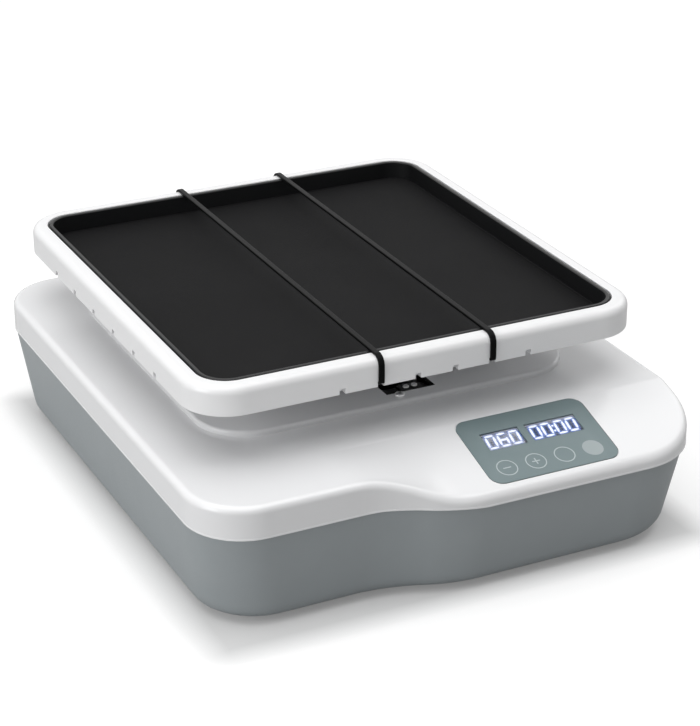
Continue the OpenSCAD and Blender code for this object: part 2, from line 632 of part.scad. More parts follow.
// Section of the tray's rim: x outward from the inner face, y up from the rim's lower edge
module rim_section() difference() {
  union() {
    square([rim_w, rim_h - rim_fillet]);
    square([rim_w - rim_fillet, rim_h]);
    translate([rim_w - rim_fillet, rim_h - rim_fillet]) intersection() {
      circle(r = rim_fillet);
      translate([-1, -1]) square(rim_fillet + 2);
    }
  }
  translate([rim_t, -1]) square([rim_w - 2 * rim_t, rim_h - rim_t - 1.2]);
  translate([-1, -1]) square([1 + e1, rim_h - (rim_z - floor_z) + 1]);
}
module tray() color(white) difference() {
  union() {
    translate([0, tray_y, floor_z]) slab(tray_in_w + 1, tray_in_d + 1, tray_in_r + 0.5, floor_t);
    translate([0, tray_y, rim_z - rim_h]) rim_sweep(tray_in_w, tray_in_d, tray_in_r) rim_section();
  }
  for (x = notch_x, s = [-1, 1]) translate([x - notch_w / 2, tray_y + s * out_d / 2 - 4.2, rim_z - rim_h - 1])
    cube([notch_w, 8.4, 4]);
  for (y = notch_y, s = [-1, 1]) translate([s * out_w / 2 - 4.2, y - notch_w / 2, rim_z - rim_h - 1])
    cube([8.4, notch_w, 4]);
  for (p = carrier_holes()) translate([p[0], p[1], floor_z - 1]) cylinder(d = 4, h = 6);
  for (x = [lever_arm - 10, lever_arm + 10]) translate([x, rod_y + 9, floor_z - 1]) cylinder(d = 3.4, h = 2);
}
module tray_mat() color(black) {
  translate([0, tray_y, mat_z]) slab(tray_in_w, tray_in_d, tray_in_r, mat_t);
  translate([0, tray_y, mat_z + 0.5]) rim_sweep(tray_in_w - 10, tray_in_d - 10, tray_in_r - 5)
    polygon([[0, 0], [4.9, 0], [4.9, mat_t + mat_depth - 1.7], [3.4, mat_t + mat_depth - 1.7],
      [3.2, mat_t + 2.2], [2.4, mat_t + 0.8], [1.4, mat_t], [0, mat_t - 0.6]]);
}

// Band: across both rims, down their outer walls and hooked up inside the rim
module rim_span(y1, r, z0) {
  translate([-(y1 - r), z0]) square([2 * (y1 - r), rim_z + r - rim_fillet - z0]);
  translate([-y1, z0]) square([2 * y1, rim_z - rim_fillet - z0]);
  for (s = [-1, 1]) translate([s * (y1 - r), rim_z - rim_fillet]) circle(r = r);
}
module band(x) {
  y1 = out_d / 2;
  low = rim_z - rim_h + 3 - band_t;
  translate([x - band_w / 2, tray_y, 0]) rotate([90, 0, 90]) linear_extrude(height = band_w) {
    difference() {
      rim_span(y1 + band_t, rim_fillet + band_t, low);
      rim_span(y1, rim_fillet, low - 1);
    }
    for (s = [0, 1]) mirror([s, 0]) {
      translate([y1 - rim_t - 1.5, low]) square([rim_t + 1.5 + band_t / 2, band_t]);
      translate([y1 - rim_t - 1.8, low + band_t / 2]) circle(d = 2.8);
    }
  }
}
module band_left() color(black) band(notch_x[1]);
module band_right() color(black) band(notch_x[4]);

tub();
top_cover();
base_feet();
foot_screws();
cover_screws();
control_panel();
speed_display();
time_display();
lit_segments();
key_marks();
control_board();
board_screws();
drive_board();
dc_inlet();
switch_frame();
switch_rocker();
support_frame();
frame_screws();
motor_bracket();
gear_motor();
motor_screws();
pivot_block_front();
pivot_block_rear();
pivot_bushes();
block_screws();
sensor_bracket();
home_sensor();
sensor_screws();
opening_screw();
crank_hub();
crank_set_screw();
rod_bearing();
drive_rod();
pivot_shaft();
tray_carrier();
carrier_screws();
drive_lug();
lug_screws();
lug_pin();
ear_screws();
tray();
tray_mat();
band_left();
band_right();
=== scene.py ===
# %% [markdown]
# # A rocking platform shaker
# A laboratory shaker that tips a tray from side to side on a shaft. One sees the drafted tub, the
# white cover, the tray, its rubber mat and two elastic bands. The drive and its frame are inside.
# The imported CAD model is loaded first, because every new piece takes its place from it.

# %% Load the frame
import json
import math

import bmesh
import bpy
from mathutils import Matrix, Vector


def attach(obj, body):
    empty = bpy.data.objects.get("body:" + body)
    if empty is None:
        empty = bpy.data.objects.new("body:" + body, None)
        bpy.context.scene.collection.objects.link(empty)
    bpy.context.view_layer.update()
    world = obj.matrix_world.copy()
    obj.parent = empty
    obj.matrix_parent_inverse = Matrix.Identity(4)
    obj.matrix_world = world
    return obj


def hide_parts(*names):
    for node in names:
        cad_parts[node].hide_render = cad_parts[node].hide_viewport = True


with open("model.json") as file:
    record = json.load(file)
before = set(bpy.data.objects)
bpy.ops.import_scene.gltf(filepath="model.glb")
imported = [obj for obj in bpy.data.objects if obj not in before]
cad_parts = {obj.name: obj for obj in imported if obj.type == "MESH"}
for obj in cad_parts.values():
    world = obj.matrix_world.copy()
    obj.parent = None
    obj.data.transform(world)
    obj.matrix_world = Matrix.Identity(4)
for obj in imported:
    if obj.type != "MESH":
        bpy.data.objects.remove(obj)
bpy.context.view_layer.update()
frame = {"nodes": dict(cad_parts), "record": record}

# %% [markdown]
# ## Sizes
# All sizes are in metres. They repeat the named values of the part, so that a surface that is
# modelled here lies exactly on the one it stands for.

# %% Sizes
MM = 0.001
base_w, base_d = 284.4 * MM, 333 * MM
console_step, ogee_r = 13.3 * MM, 76 * MM
corner_r, console_r = 32 * MM, 42 * MM
foot_h, seam_z, cover_z, plat_z = 3 * MM, 55 * MM, 72.6 * MM, 75.6 * MM
console_z = 50.8 * MM
slope_angle = math.radians(16)
wall_t = 2.5 * MM
side_x, back_y, front_c = base_w / 2, base_d / 2, -base_d / 2
front_l = front_c + console_step
slope_y = front_c + 53 * MM
tray_y = back_y - 144 * MM
ogee_turn = math.acos(1 - console_step / (2 * ogee_r))
ogee_x0 = -58 * MM
ogee_x1 = ogee_x0 + 2 * ogee_r * math.sin(ogee_turn)
tray_w, tray_d, tray_r = 240 * MM, 253 * MM, 17 * MM
rim_w, rim_fillet, rim_t = 8.6 * MM, 4.5 * MM, 2 * MM
rim_z, rim_low, mat_z = 118 * MM, 102.4 * MM, 106 * MM
out_w, out_d = tray_w + 2 * rim_w, tray_d + 2 * rim_w
notch_off_x, notch_gap_x, notch_off_y, notch_gap_y = 2.8, 21.5, -0.7, 30
notch_x = [(notch_off_x + (i - 2.5) * notch_gap_x) * MM for i in range(6)]
notch_y = [tray_y + (notch_off_y + (i - 2.5) * notch_gap_y) * MM for i in range(6)]
print(f"base {base_w / MM:.1f} x {base_d / MM:.1f} mm, tray {out_w / MM:.1f} x {out_d / MM:.1f} mm")

# %% [markdown]
# ## Helpers for edit mode
# In the viewport one clicks on faces. Here `choose` picks them by a test on their place or normal,
# and the operators then act on what is picked, just as they would by hand.


# %% Helpers for edit mode
def choose(kind, test):
    """Select the parts of the mesh in edit mode that pass the test."""
    bpy.ops.mesh.select_mode(type=kind)
    bpy.ops.mesh.select_all(action="DESELECT")
    mesh = bmesh.from_edit_mesh(bpy.context.edit_object.data)
    parts = {"VERT": mesh.verts, "EDGE": mesh.edges, "FACE": mesh.faces}[kind]
    for part in parts:
        if test(part):
            part.select_set(True)
    mesh.select_flush_mode()
    bmesh.update_edit_mesh(bpy.context.edit_object.data)


def pick(piece):
    """Select one object alone, and make it the active one."""
    bpy.ops.object.select_all(action="DESELECT")
    bpy.context.view_layer.objects.active = piece
    piece.select_set(True)


def take_all():
    bpy.ops.mesh.select_all(action="SELECT")


def close_edit():
    bpy.ops.object.mode_set(mode="OBJECT")


def extrude(x, y, z):
    bpy.ops.mesh.extrude_region_move(TRANSFORM_OT_translate={"value": (x, y, z)})


def rise(height):
    """Extrude the chosen face straight along Z."""
    extrude(0, 0, height)


def step(inwards, along):
    """Inset the chosen face evenly, and move it along its normal."""
    bpy.ops.mesh.inset(thickness=max(inwards, 0), depth=along, use_even_offset=True)


def quarter(radius, steps):
    """Walk a quarter circle. Each step gives its way off the wall and its way along it."""
    for i in range(steps):
        a, b = math.pi / 2 * i / steps, math.pi / 2 * (i + 1) / steps
        yield radius * (math.cos(a) - math.cos(b)), radius * (math.sin(b) - math.sin(a))


def round_out(radius, steps):
    """From an upright wall round to a flat top."""
    for away, along in quarter(radius, steps):
        step(away, along)


def round_in(radius, steps):
    """From a flat top round to a wall that goes down."""
    for away, along in quarter(radius, steps):
        step(along, -away)


def round_floor(radius, steps):
    """From a wall that goes down round to a flat floor."""
    for away, along in quarter(radius, steps):
        step(away, -along)


def cut_across(place, normal):
    """Cut every face that a plane crosses, and keep both sides."""
    take_all()
    bpy.ops.mesh.bisect(plane_co=place, plane_no=normal)


def close_bottom():
    """Fill the open loop of edges that the starting face left behind."""
    choose("EDGE", lambda e: e.is_boundary)
    bpy.ops.mesh.edge_face_add()


def face_outwards():
    take_all()
    bpy.ops.mesh.normals_make_consistent(inside=False)


def close_piece():
    """Fill the bottom and leave edit mode."""
    close_bottom()
    close_edit()


def close_solid():
    """Fill the bottom, turn every face outwards and leave edit mode."""
    close_bottom()
    face_outwards()
    close_edit()


print("helpers for edit mode are ready")


# %% Start and finish of a piece
def fresh(name, operator, **settings):
    """Add an object with an operator, and name it."""
    bpy.ops.object.select_all(action="DESELECT")
    operator(**settings)
    piece = bpy.context.object
    piece.name = piece.data.name = name
    return piece


def rounded_plate(name, width, depth, radius, centre=(0, 0), z=0.0, steps=12):
    """One flat face with rounded corners, in edit mode and chosen."""
    piece = fresh(name, bpy.ops.mesh.primitive_plane_add, size=1)
    bpy.ops.object.mode_set(mode="EDIT")
    bpy.ops.transform.resize(value=(width, depth, 1))
    bpy.ops.transform.translate(value=(centre[0], centre[1], z))
    if radius > 0:
        bpy.ops.mesh.bevel(offset=radius, segments=steps, affect="VERTICES")
    choose("FACE", lambda f: True)
    return piece


def turned(name, radius, x=0.0, y=0.0, z=0.0, sides=48):
    """A round face in edit mode and chosen, from which a turned piece grows."""
    piece = settle(fresh(name, bpy.ops.mesh.primitive_circle_add, vertices=sides, radius=radius,
                         fill_type="NGON", location=(x, y, z)))
    bpy.ops.object.mode_set(mode="EDIT")
    choose("FACE", lambda f: True)
    return piece


def modify(piece, kind, **settings):
    """Add a modifier, set it and apply it at once."""
    pick(piece)
    bpy.ops.object.modifier_add(type=kind)
    modifier = piece.modifiers[-1]
    for key, value in settings.items():
        setattr(modifier, key, value)
    bpy.ops.object.modifier_apply(modifier=modifier.name)


def combine(piece, tool, operation="DIFFERENCE"):
    """Boolean with a helper solid, which is deleted. It cuts unless told otherwise."""
    modify(piece, "BOOLEAN", object=tool, operation=operation, solver="EXACT")
    bpy.data.objects.remove(tool)


def soften(piece, angle):
    """Smooth shading that keeps sharp edges, and weighted normals that keep flat faces flat."""
    pick(piece)
    bpy.ops.object.shade_smooth_by_angle(angle=math.radians(angle))
    modify(piece, "WEIGHTED_NORMAL", keep_sharp=True, weight=100)


def finish_piece(piece, body, slot, *nodes, smooth=None, look=None):
    """Give a piece its shading, its finish and its body, and hide the CAD nodes that it stands for.
    """
    if smooth:
        soften(piece, smooth)
    piece.data.materials.clear()
    piece.data.materials.append(looks[look or look_of.get(slot, slot)])
    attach(piece, body)
    if nodes:
        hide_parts(*nodes)
    size = [round(c / MM, 1) for c in piece.dimensions]
    print(f"{piece.name}: {len(piece.data.polygons)} faces, {size} mm, rides on {body}")


def solid_box(name, low, high):
    """A plain box, only ever used as a cutter."""
    size = [h - l for l, h in zip(low, high)]
    piece = rounded_plate(name, size[0], size[1], 0,
                          ((low[0] + high[0]) / 2, (low[1] + high[1]) / 2), low[2])
    rise(size[2])
    close_solid()
    return piece


def join(pieces, name):
    pick(pieces[0])
    for piece in pieces:
        piece.select_set(True)
    bpy.ops.object.join()
    pieces[0].name = pieces[0].data.name = name
    return pieces[0]


def settle(piece):
    """Put an object's turn and place into its mesh."""
    pick(piece)
    bpy.ops.object.transform_apply(location=True, rotation=True, scale=True)
    return piece


def lay(piece, turn, place):
    """Turn an object and move it, and put both into its mesh."""
    piece.rotation_euler, piece.location = turn, place
    return settle(piece)


def onto_slope(piece):
    """Lay a piece that was made flat onto the sloped console."""
    return lay(piece, (slope_angle, 0, 0), (0, slope_y, cover_z))


print("helpers for pieces are ready")

# %% [markdown]
# ## Finishes
# The same few effects are in most of the finishes: a slow drift of the colour, a moulded grain,
# lighter edges, and the marks that hands leave on a gloss. Each is a node group with named inputs,
# made once. The shader itself stays in every material, where an exporter can read it.


# %% Node group helpers
def new_group(name, inputs, outputs):
    tree = bpy.data.node_groups.new(name, "ShaderNodeTree")
    for label, kind, value in inputs:
        socket = tree.interface.new_socket(label, in_out="INPUT", socket_type=kind)
        socket.default_value = value
    for label, kind in outputs:
        tree.interface.new_socket(label, in_out="OUTPUT", socket_type=kind)
    return tree, tree.nodes.new("NodeGroupInput").outputs, tree.nodes.new("NodeGroupOutput").inputs


def feed(tree, node, **values):
    """Fill the inputs of a node by name, or by number as i0. A value that is a socket is linked."""
    for key, value in values.items():
        numbered = key[0] == "i" and key[1:].isdigit()
        socket = node.inputs[int(key[1:]) if numbered else key.replace("_", " ")]
        if isinstance(value, bpy.types.NodeSocket):
            tree.links.new(value, socket)
        else:
            socket.default_value = value
    return node


def add(tree, kind, **values):
    """Add a node. A key that starts with set_ is a setting of the node, and any other an input."""
    node = tree.nodes.new("ShaderNode" + kind)
    for key in [key for key in values if key.startswith("set_")]:
        setattr(node, key[4:], values.pop(key))
    return feed(tree, node, **values)


def math_node(tree, operation, a, b=0.0):
    return add(tree, "Math", set_operation=operation, i0=a, i1=b).outputs[0]


def vector_node(tree, operation, a, b=(0, 0, 0)):
    return add(tree, "VectorMath", set_operation=operation, i0=a, i1=b)


def blend(tree, share, first, second):
    """From the first colour to the second, by a share."""
    mix = add(tree, "Mix", set_data_type="RGBA", i0=share, i6=first, i7=second)
    return mix.outputs[2]


def fade(tree, value, start, end, low=0.0, high=1.0):
    """From low to high while the value goes from start to end."""
    return add(tree, "MapRange", Value=value, From_Min=start, From_Max=end,
               To_Min=low, To_Max=high).outputs["Result"]


COLOUR, NUMBER = "NodeSocketColor", "NodeSocketFloat"
print("node helpers are ready")

# %% Group: slow drift of a colour
drift, gi, go = new_group("colour_drift", [
    ("Colour", COLOUR, (1, 1, 1, 1)), ("Other", COLOUR, (0.9, 0.9, 0.9, 1)),
    ("Scale", NUMBER, 20), ("Amount", NUMBER, 0.3)], [("Colour", COLOUR)])
place = add(drift, "TexCoord").outputs["Object"]
cloud = add(drift, "TexNoise", Vector=place, Scale=gi["Scale"], Detail=3.0, Roughness=0.55)
share = math_node(drift, "MULTIPLY", cloud.outputs["Fac"], gi["Amount"])
mixed = blend(drift, share, gi["Colour"], gi["Other"])
drift.links.new(mixed, go["Colour"])
print("group", drift.name)

# %% Group: grain of a mould
grain, gi, go = new_group("mould_grain", [
    ("Scale", NUMBER, 2500), ("Fine", NUMBER, 0.5)], [("Height", NUMBER)])
place = add(grain, "TexCoord").outputs["Object"]
big = add(grain, "TexNoise", Vector=place, Scale=gi["Scale"], Detail=2.0, Roughness=0.6)
small_scale = math_node(grain, "MULTIPLY", gi["Scale"], 3.1)
small = add(grain, "TexVoronoi", Vector=place, Scale=small_scale)
small_part = math_node(grain, "MULTIPLY", small.outputs["Distance"], gi["Fine"])
total = math_node(grain, "ADD", big.outputs["Fac"], small_part)
grain.links.new(total, go["Height"])
print("group", grain.name)

# %% Group: lighter edges
edges, gi, go = new_group("edge_tone", [
    ("Colour", COLOUR, (1, 1, 1, 1)), ("Edge", COLOUR, (1, 1, 1, 1)), ("Amount", NUMBER, 0.3)],
    [("Colour", COLOUR)])
form = add(edges, "NewGeometry")
# lighter along convex edges, broken up by noise
ramp = fade(edges, form.outputs["Pointiness"], 0.505, 0.56)
place = add(edges, "TexCoord").outputs["Object"]
edge_noise = add(edges, "TexNoise", Vector=place, Scale=60.0, Detail=4.0)
edge_share = math_node(edges, "MULTIPLY", ramp, edge_noise.outputs["Fac"])
mask = math_node(edges, "MULTIPLY", edge_share, gi["Amount"])
mixed = blend(edges, mask, gi["Colour"], gi["Edge"])
edges.links.new(mixed, go["Colour"])
print("group", edges.name)

# %% Group: marks of handling in the gloss
marks, gi, go = new_group("handling_marks", [
    ("Roughness", NUMBER, 0.3), ("Spread", NUMBER, 0.1), ("Scale", NUMBER, 14)],
    [("Roughness", NUMBER)])
place = add(marks, "TexCoord").outputs["Object"]
smear = add(marks, "TexNoise", Vector=place, Scale=gi["Scale"],
            Detail=6.0, Roughness=0.65, Distortion=0.6)
centred = math_node(marks, "SUBTRACT", smear.outputs["Fac"], 0.5)
change = math_node(marks, "MULTIPLY", centred, gi["Spread"])
rough = math_node(marks, "ADD", gi["Roughness"], change)
marks.links.new(rough, go["Roughness"])
print("group", marks.name)

# %% Group: painted shade inside a housing
# A face is an inner one when it looks back at the middle of the housing. Inner faces are painted
# near black, as painted shade that stands in for the dark inside of the housing.
inside, gi, go = new_group("inner_painted_shade", [
    ("Colour", COLOUR, (1, 1, 1, 1)), ("Coat", COLOUR, (0.02, 0.02, 0.02, 1)),
    ("Height", NUMBER, 0.06)], [("Colour", COLOUR)])
place = add(inside, "TexCoord").outputs["Object"]
form = add(inside, "NewGeometry")
middle = add(inside, "CombineXYZ", Z=gi["Height"])
away = vector_node(inside, "SUBTRACT", place, middle.outputs[0])
facing = vector_node(inside, "DOT_PRODUCT", away.outputs[0], form.outputs["Normal"])
is_inner = math_node(inside, "LESS_THAN", facing.outputs["Value"], 0.0)
# painted shade: inner faces take the near-black shade colour
mixed = blend(inside, is_inner, gi["Colour"], gi["Coat"])
inside.links.new(mixed, go["Colour"])
print("group", inside.name)

# %% Group: brushed or turned lines
lines, gi, go = new_group("drawn_lines", [
    ("Along", NUMBER, 60), ("Across", NUMBER, 2200)], [("Height", NUMBER)])
place = add(lines, "TexCoord").outputs["Object"]
across, along = gi["Across"], gi["Along"]
pull = add(lines, "CombineXYZ", X=across, Y=along, Z=across)
stretch = vector_node(lines, "MULTIPLY", place, pull.outputs[0])
streak = add(lines, "TexNoise", Vector=stretch.outputs[0], Scale=1.0, Detail=3.0)
lines.links.new(streak.outputs["Fac"], go["Height"])
print("group", lines.name)

# %% [markdown]
# ### One function for the moulded and metal finishes
# A finish is a colour that drifts a little, a tone along the edges, a roughness with marks in it,
# and a bump. Metals swap the mould grain for drawn lines. The two glossy whites have neither grain
# nor marks, because at their gloss even a little of either shows as patches. The grain's depth is
# in metres.


# %% Finishes
def rgb(r, g, b):
    return (r, g, b, 1.0)


def use(tree, group, **values):
    """Add a node group, and give back its one output."""
    return add(tree, "Group", set_node_tree=group, **values).outputs[0]


looks = {}
look_of = {  # the slots whose finish has another name
    "band_elastic": "band_rubber", "overlay_grey": "film_grey", "led_black": "led_window",
    "led_lit": "led_bars", "black_plastic": "black_case", "circuit_board": "board_green",
    "sheet_steel": "sheet_zinc",
}


def new_material(name):
    """Keep a new material under its name, and give back its node tree and its shader."""
    material = looks[name] = bpy.data.materials.new(name)
    material.use_nodes = True
    return material.node_tree, material.node_tree.nodes["Principled BSDF"]


def finish(name, colour, other, edge, rough, spread, grain_scale, grain_depth, fine=0.5,
           drift_scale=18, drift_amount=0.5, edge_amount=0.35, drawn=None, shaded_inside=False, **plain):
    colour, other, edge = rgb(*colour), rgb(*other), rgb(*edge)
    tree, shader = new_material(name)
    tone = use(tree, drift, Colour=colour, Other=other, Scale=drift_scale, Amount=drift_amount)
    tone = use(tree, edges, Colour=tone, Edge=edge, Amount=edge_amount)
    # painted shade: faces that look inwards are painted near black
    if shaded_inside:
        tone = use(tree, inside, Colour=tone)
    hand = use(tree, marks, Roughness=rough, Spread=spread)
    if drawn:
        relief = use(tree, lines, Along=drawn[0], Across=drawn[1])
    else:
        relief = use(tree, grain, Scale=grain_scale, Fine=fine)
    bump = add(tree, "Bump", Strength=1.0, Distance=grain_depth, Height=relief).outputs["Normal"]
    feed(tree, shader, Base_Color=tone, Roughness=hand, Normal=bump, **plain)
    print("finish", name)


# After the three colours come the roughness, how far the marks change it, and the scale and depth
# of the grain.
# The cover's inner faces are painted near black, as painted shade.
finish("cover_white", (0.80, 0.803, 0.812), (0.775, 0.778, 0.788), (0.9, 0.9, 0.9),
       0.24, 0, 700, 0, shaded_inside=True, edge_amount=0.0, Coat_Weight=0.25, Coat_Roughness=0.08)
finish("tray_white", (0.82, 0.822, 0.828), (0.79, 0.793, 0.80), (0.93, 0.93, 0.93),
       0.28, 0, 700, 0, edge_amount=0.0, Coat_Weight=0.2, Coat_Roughness=0.1)
finish("tub_grey", (0.300, 0.329, 0.342), (0.278, 0.307, 0.32), (0.36, 0.39, 0.40),
       0.42, 0.08, 3200, 0.00003)
finish("mat_rubber", (0.0035, 0.0035, 0.0038), (0.0055, 0.0055, 0.006), (0.03, 0.03, 0.03),
       0.72, 0.12, 2600, 0.00006, fine=0.9, drift_scale=30, edge_amount=0.0, Specular_IOR_Level=0.1)
finish("band_rubber", (0.001, 0.001, 0.0012), (0.002, 0.002, 0.0022), (0.01, 0.01, 0.01),
       0.3, 0.1, 4000, 0.00002, Specular_IOR_Level=0.06)
finish("lip_rubber", (0.005, 0.0053, 0.0058), (0.007, 0.0073, 0.0078), (0.02, 0.02, 0.02),
       0.35, 0.1, 3000, 0.00002, edge_amount=0.0, Specular_IOR_Level=0.3)
finish("foot_rubber", (0.018, 0.018, 0.018), (0.03, 0.03, 0.03), (0.06, 0.06, 0.06),
       0.75, 0.1, 2600, 0.00006)
finish("film_grey", (0.143, 0.195, 0.203), (0.130, 0.178, 0.186), (0.3, 0.35, 0.36),
       0.40, 0.06, 5200, 0.000010)
finish("key_print", (0.42, 0.475, 0.485), (0.38, 0.43, 0.44), (0.5, 0.55, 0.55),
       0.45, 0.05, 5200, 0.000008)
finish("key_disc", (0.29, 0.335, 0.345), (0.27, 0.31, 0.32), (0.4, 0.45, 0.45),
       0.45, 0.05, 5200, 0.000008)
finish("black_case", (0.006, 0.006, 0.0065), (0.010, 0.010, 0.011), (0.04, 0.04, 0.04),
       0.45, 0.1, 3400, 0.00003, Specular_IOR_Level=0.08)
finish("switch_black", (0.012, 0.012, 0.013), (0.018, 0.018, 0.019), (0.06, 0.06, 0.06),
       0.22, 0.08, 1200, 0.000006)
finish("board_green", (0.012, 0.075, 0.035), (0.02, 0.11, 0.05), (0.2, 0.25, 0.15),
       0.38, 0.1, 1500, 0.00004, drift_scale=90, drift_amount=0.8)
finish("sheet_zinc", (0.50, 0.51, 0.52), (0.60, 0.60, 0.59), (0.72, 0.72, 0.72),
       0.38, 0.14, 0, 0.00001, drift_scale=120, drift_amount=0.8, drawn=(40, 1800), Metallic=1.0)
finish("screw_steel", (0.56, 0.56, 0.57), (0.64, 0.64, 0.63), (0.8, 0.8, 0.8),
       0.28, 0.12, 0, 0.00001, drift_scale=300, drawn=(900, 900), Metallic=1.0)
finish("shaft_steel", (0.62, 0.62, 0.63), (0.70, 0.70, 0.70), (0.85, 0.85, 0.85),
       0.2, 0.08, 0, 0.000006, drift_scale=200, drawn=(3000, 200), Metallic=1.0)
finish("machined_aluminium", (0.66, 0.67, 0.69), (0.72, 0.73, 0.74), (0.86, 0.86, 0.87),
       0.33, 0.1, 0, 0.00001, drift_scale=80, drawn=(60, 2600), Metallic=1.0)
finish("bush_bronze", (0.50, 0.33, 0.14), (0.42, 0.27, 0.12), (0.7, 0.5, 0.25),
       0.38, 0.12, 1400, 0.00002, drift_scale=300, Metallic=1.0)
finish("motor_metal", (0.40, 0.41, 0.43), (0.46, 0.47, 0.48), (0.6, 0.6, 0.62),
       0.42, 0.12, 0, 0.00001, drawn=(80, 900), Metallic=0.9)

# %% [markdown]
# ### The lit window
# A seven-segment module is almost black, and its lit bars bleed a blue haze into the tinted front.
# The haze can't be painted by a plain gradient, because it follows the bars. So the window is a
# fine grid whose points carry a number, `haze`, that falls off away from the nearest lit bar.

# %% Lit window and bars
tree, shader = new_material("led_window")
haze = add(tree, "Attribute", set_attribute_name="haze").outputs["Fac"]
tint = blend(tree, haze, rgb(0.0004, 0.0008, 0.004), rgb(0.12, 0.26, 0.80))
tone = use(tree, drift, Colour=rgb(0.004, 0.006, 0.014), Other=rgb(0.008, 0.010, 0.02),
           Scale=60, Amount=0.6)
hand = use(tree, marks, Roughness=0.22, Spread=0.05)
feed(tree, shader, Base_Color=tone, Roughness=hand, Specular_IOR_Level=0.06,
     Emission_Color=tint, Emission_Strength=1.0)

tree, shader = new_material("led_bars")
glow = use(tree, drift, Colour=rgb(0.95, 0.97, 1.0), Other=rgb(0.82, 0.88, 1.0),
           Scale=400, Amount=0.5)
hand = use(tree, marks, Roughness=0.35, Spread=0.05)
feed(tree, shader, Base_Color=rgb(0.05, 0.05, 0.06), Roughness=hand, Emission_Color=glow,
     Emission_Strength=1.0)
print("finish led_window, led_bars")

# %% [markdown]
# ## Floor, light and camera
# A plain pale floor and one large soft lamp above, with a weaker one at each side, as in a small
# product studio. To the camera the floor glows a little, so that it shows white. Near the object it
# glows less: a painted contact shadow that darkens the floor round the foot, on top of the real
# one.

# %% Floor
half_x, half_y = 0.134, 0.156  # half of the object's footprint
painted_shadow_reach, glow_reach = 0.018, 0.5
floor = settle(fresh("floor", bpy.ops.mesh.primitive_plane_add, size=14, location=(0, 2, 0)))
tree, shader = new_material("studio_paper")
place = add(tree, "TexCoord").outputs["Object"]
folded = vector_node(tree, "ABSOLUTE", place)
beyond = vector_node(tree, "SUBTRACT", folded.outputs["Vector"], (half_x, half_y, 0))
beyond = vector_node(tree, "MAXIMUM", beyond.outputs["Vector"])
reach = vector_node(tree, "LENGTH", beyond.outputs["Vector"]).outputs["Value"]
# painted shadow: close to the footprint the floor glows less, which darkens a band round the foot
near = fade(tree, reach, 0.0, painted_shadow_reach, 0.18, 0.50)
far = fade(tree, reach, painted_shadow_reach, glow_reach, 0.0, 0.12)
glow = math_node(tree, "ADD", near, far)
camera_ray = add(tree, "LightPath").outputs["Is Camera Ray"]
strength = math_node(tree, "MULTIPLY", glow, camera_ray)
feed(tree, shader, Base_Color=rgb(0.53, 0.53, 0.53), Roughness=0.9, Emission_Color=rgb(1, 1, 1),
     Emission_Strength=strength)
floor.data.materials.append(looks["studio_paper"])
print("floor", [round(c, 2) for c in floor.dimensions], "m")

# %% World and lamps
dim = 0.22  # what the world gives to rays that only carry light
world = bpy.data.worlds.new("studio")
bpy.context.scene.world = world
world.use_nodes = True
tree = world.node_tree
back = tree.nodes["Background"]
path = tree.nodes.new("ShaderNodeLightPath")
seen = math_node(tree, "MAXIMUM", path.outputs["Is Camera Ray"], path.outputs["Is Glossy Ray"])
seen = math_node(tree, "MAXIMUM", seen, path.outputs["Is Transmission Ray"])
level = math_node(tree, "MULTIPLY", seen, 1 - dim)
level = math_node(tree, "ADD", level, dim)
tree.links.new(level, back.inputs["Strength"])
back.inputs["Color"].default_value = rgb(1, 1, 1)


def lamp(name, place, aim, size, watts):
    light = fresh(name, bpy.ops.object.light_add, type="AREA", location=place)
    light.data.shape = "RECTANGLE"
    light.data.size, light.data.size_y = size
    light.data.energy = watts
    turn = (Vector(aim) - Vector(place)).to_track_quat("-Z", "Y")
    light.rotation_euler = turn.to_euler()
    print(f"lamp {name}: {watts} W")


lamp("overhead", (-0.2, -0.1, 1.5), (0, 0, 0.05), (1.9, 1.9), 24)
lamp("left", (-1.6, -0.3, 0.6), (0, 0, 0.08), (0.9, 0.9), 10)
lamp("right", (1.2, 0.4, 1.0), (0, 0, 0.08), (0.9, 0.9), 3.5)

# %% Camera
camera = fresh("camera", bpy.ops.object.camera_add, location=(-0.48918, -1.01542, 0.58497))
camera.rotation_euler = (math.radians(65.135), 0, math.radians(-26.155))
camera.data.sensor_width = 36
camera.data.lens = 109.98
camera.data.shift_x, camera.data.shift_y = -0.00255, -0.0003
camera.data.clip_start = 0.05
bpy.context.scene.camera = camera
bpy.context.scene.view_settings.view_transform = "Standard"
print("camera at", [round(c, 3) for c in camera.location])

# %% [markdown]
# ## The plan of the base
# Tub and cover share one plan: a rectangle with large rounded corners, whose front edge swings
# forward in front of the console. By hand one would add a plane, put two more points on its front
# edge, and bevel each corner by its own radius. The swing is two corners bevelled until they meet.

# %% Plan of the base
dip_start, dip_run = front_c + 20 * MM, 40 * MM
roof_start, roof_run = ogee_x0 - 6 * MM, ogee_x1 - ogee_x0 - 6 * MM
roof_bend = 1.3 * MM


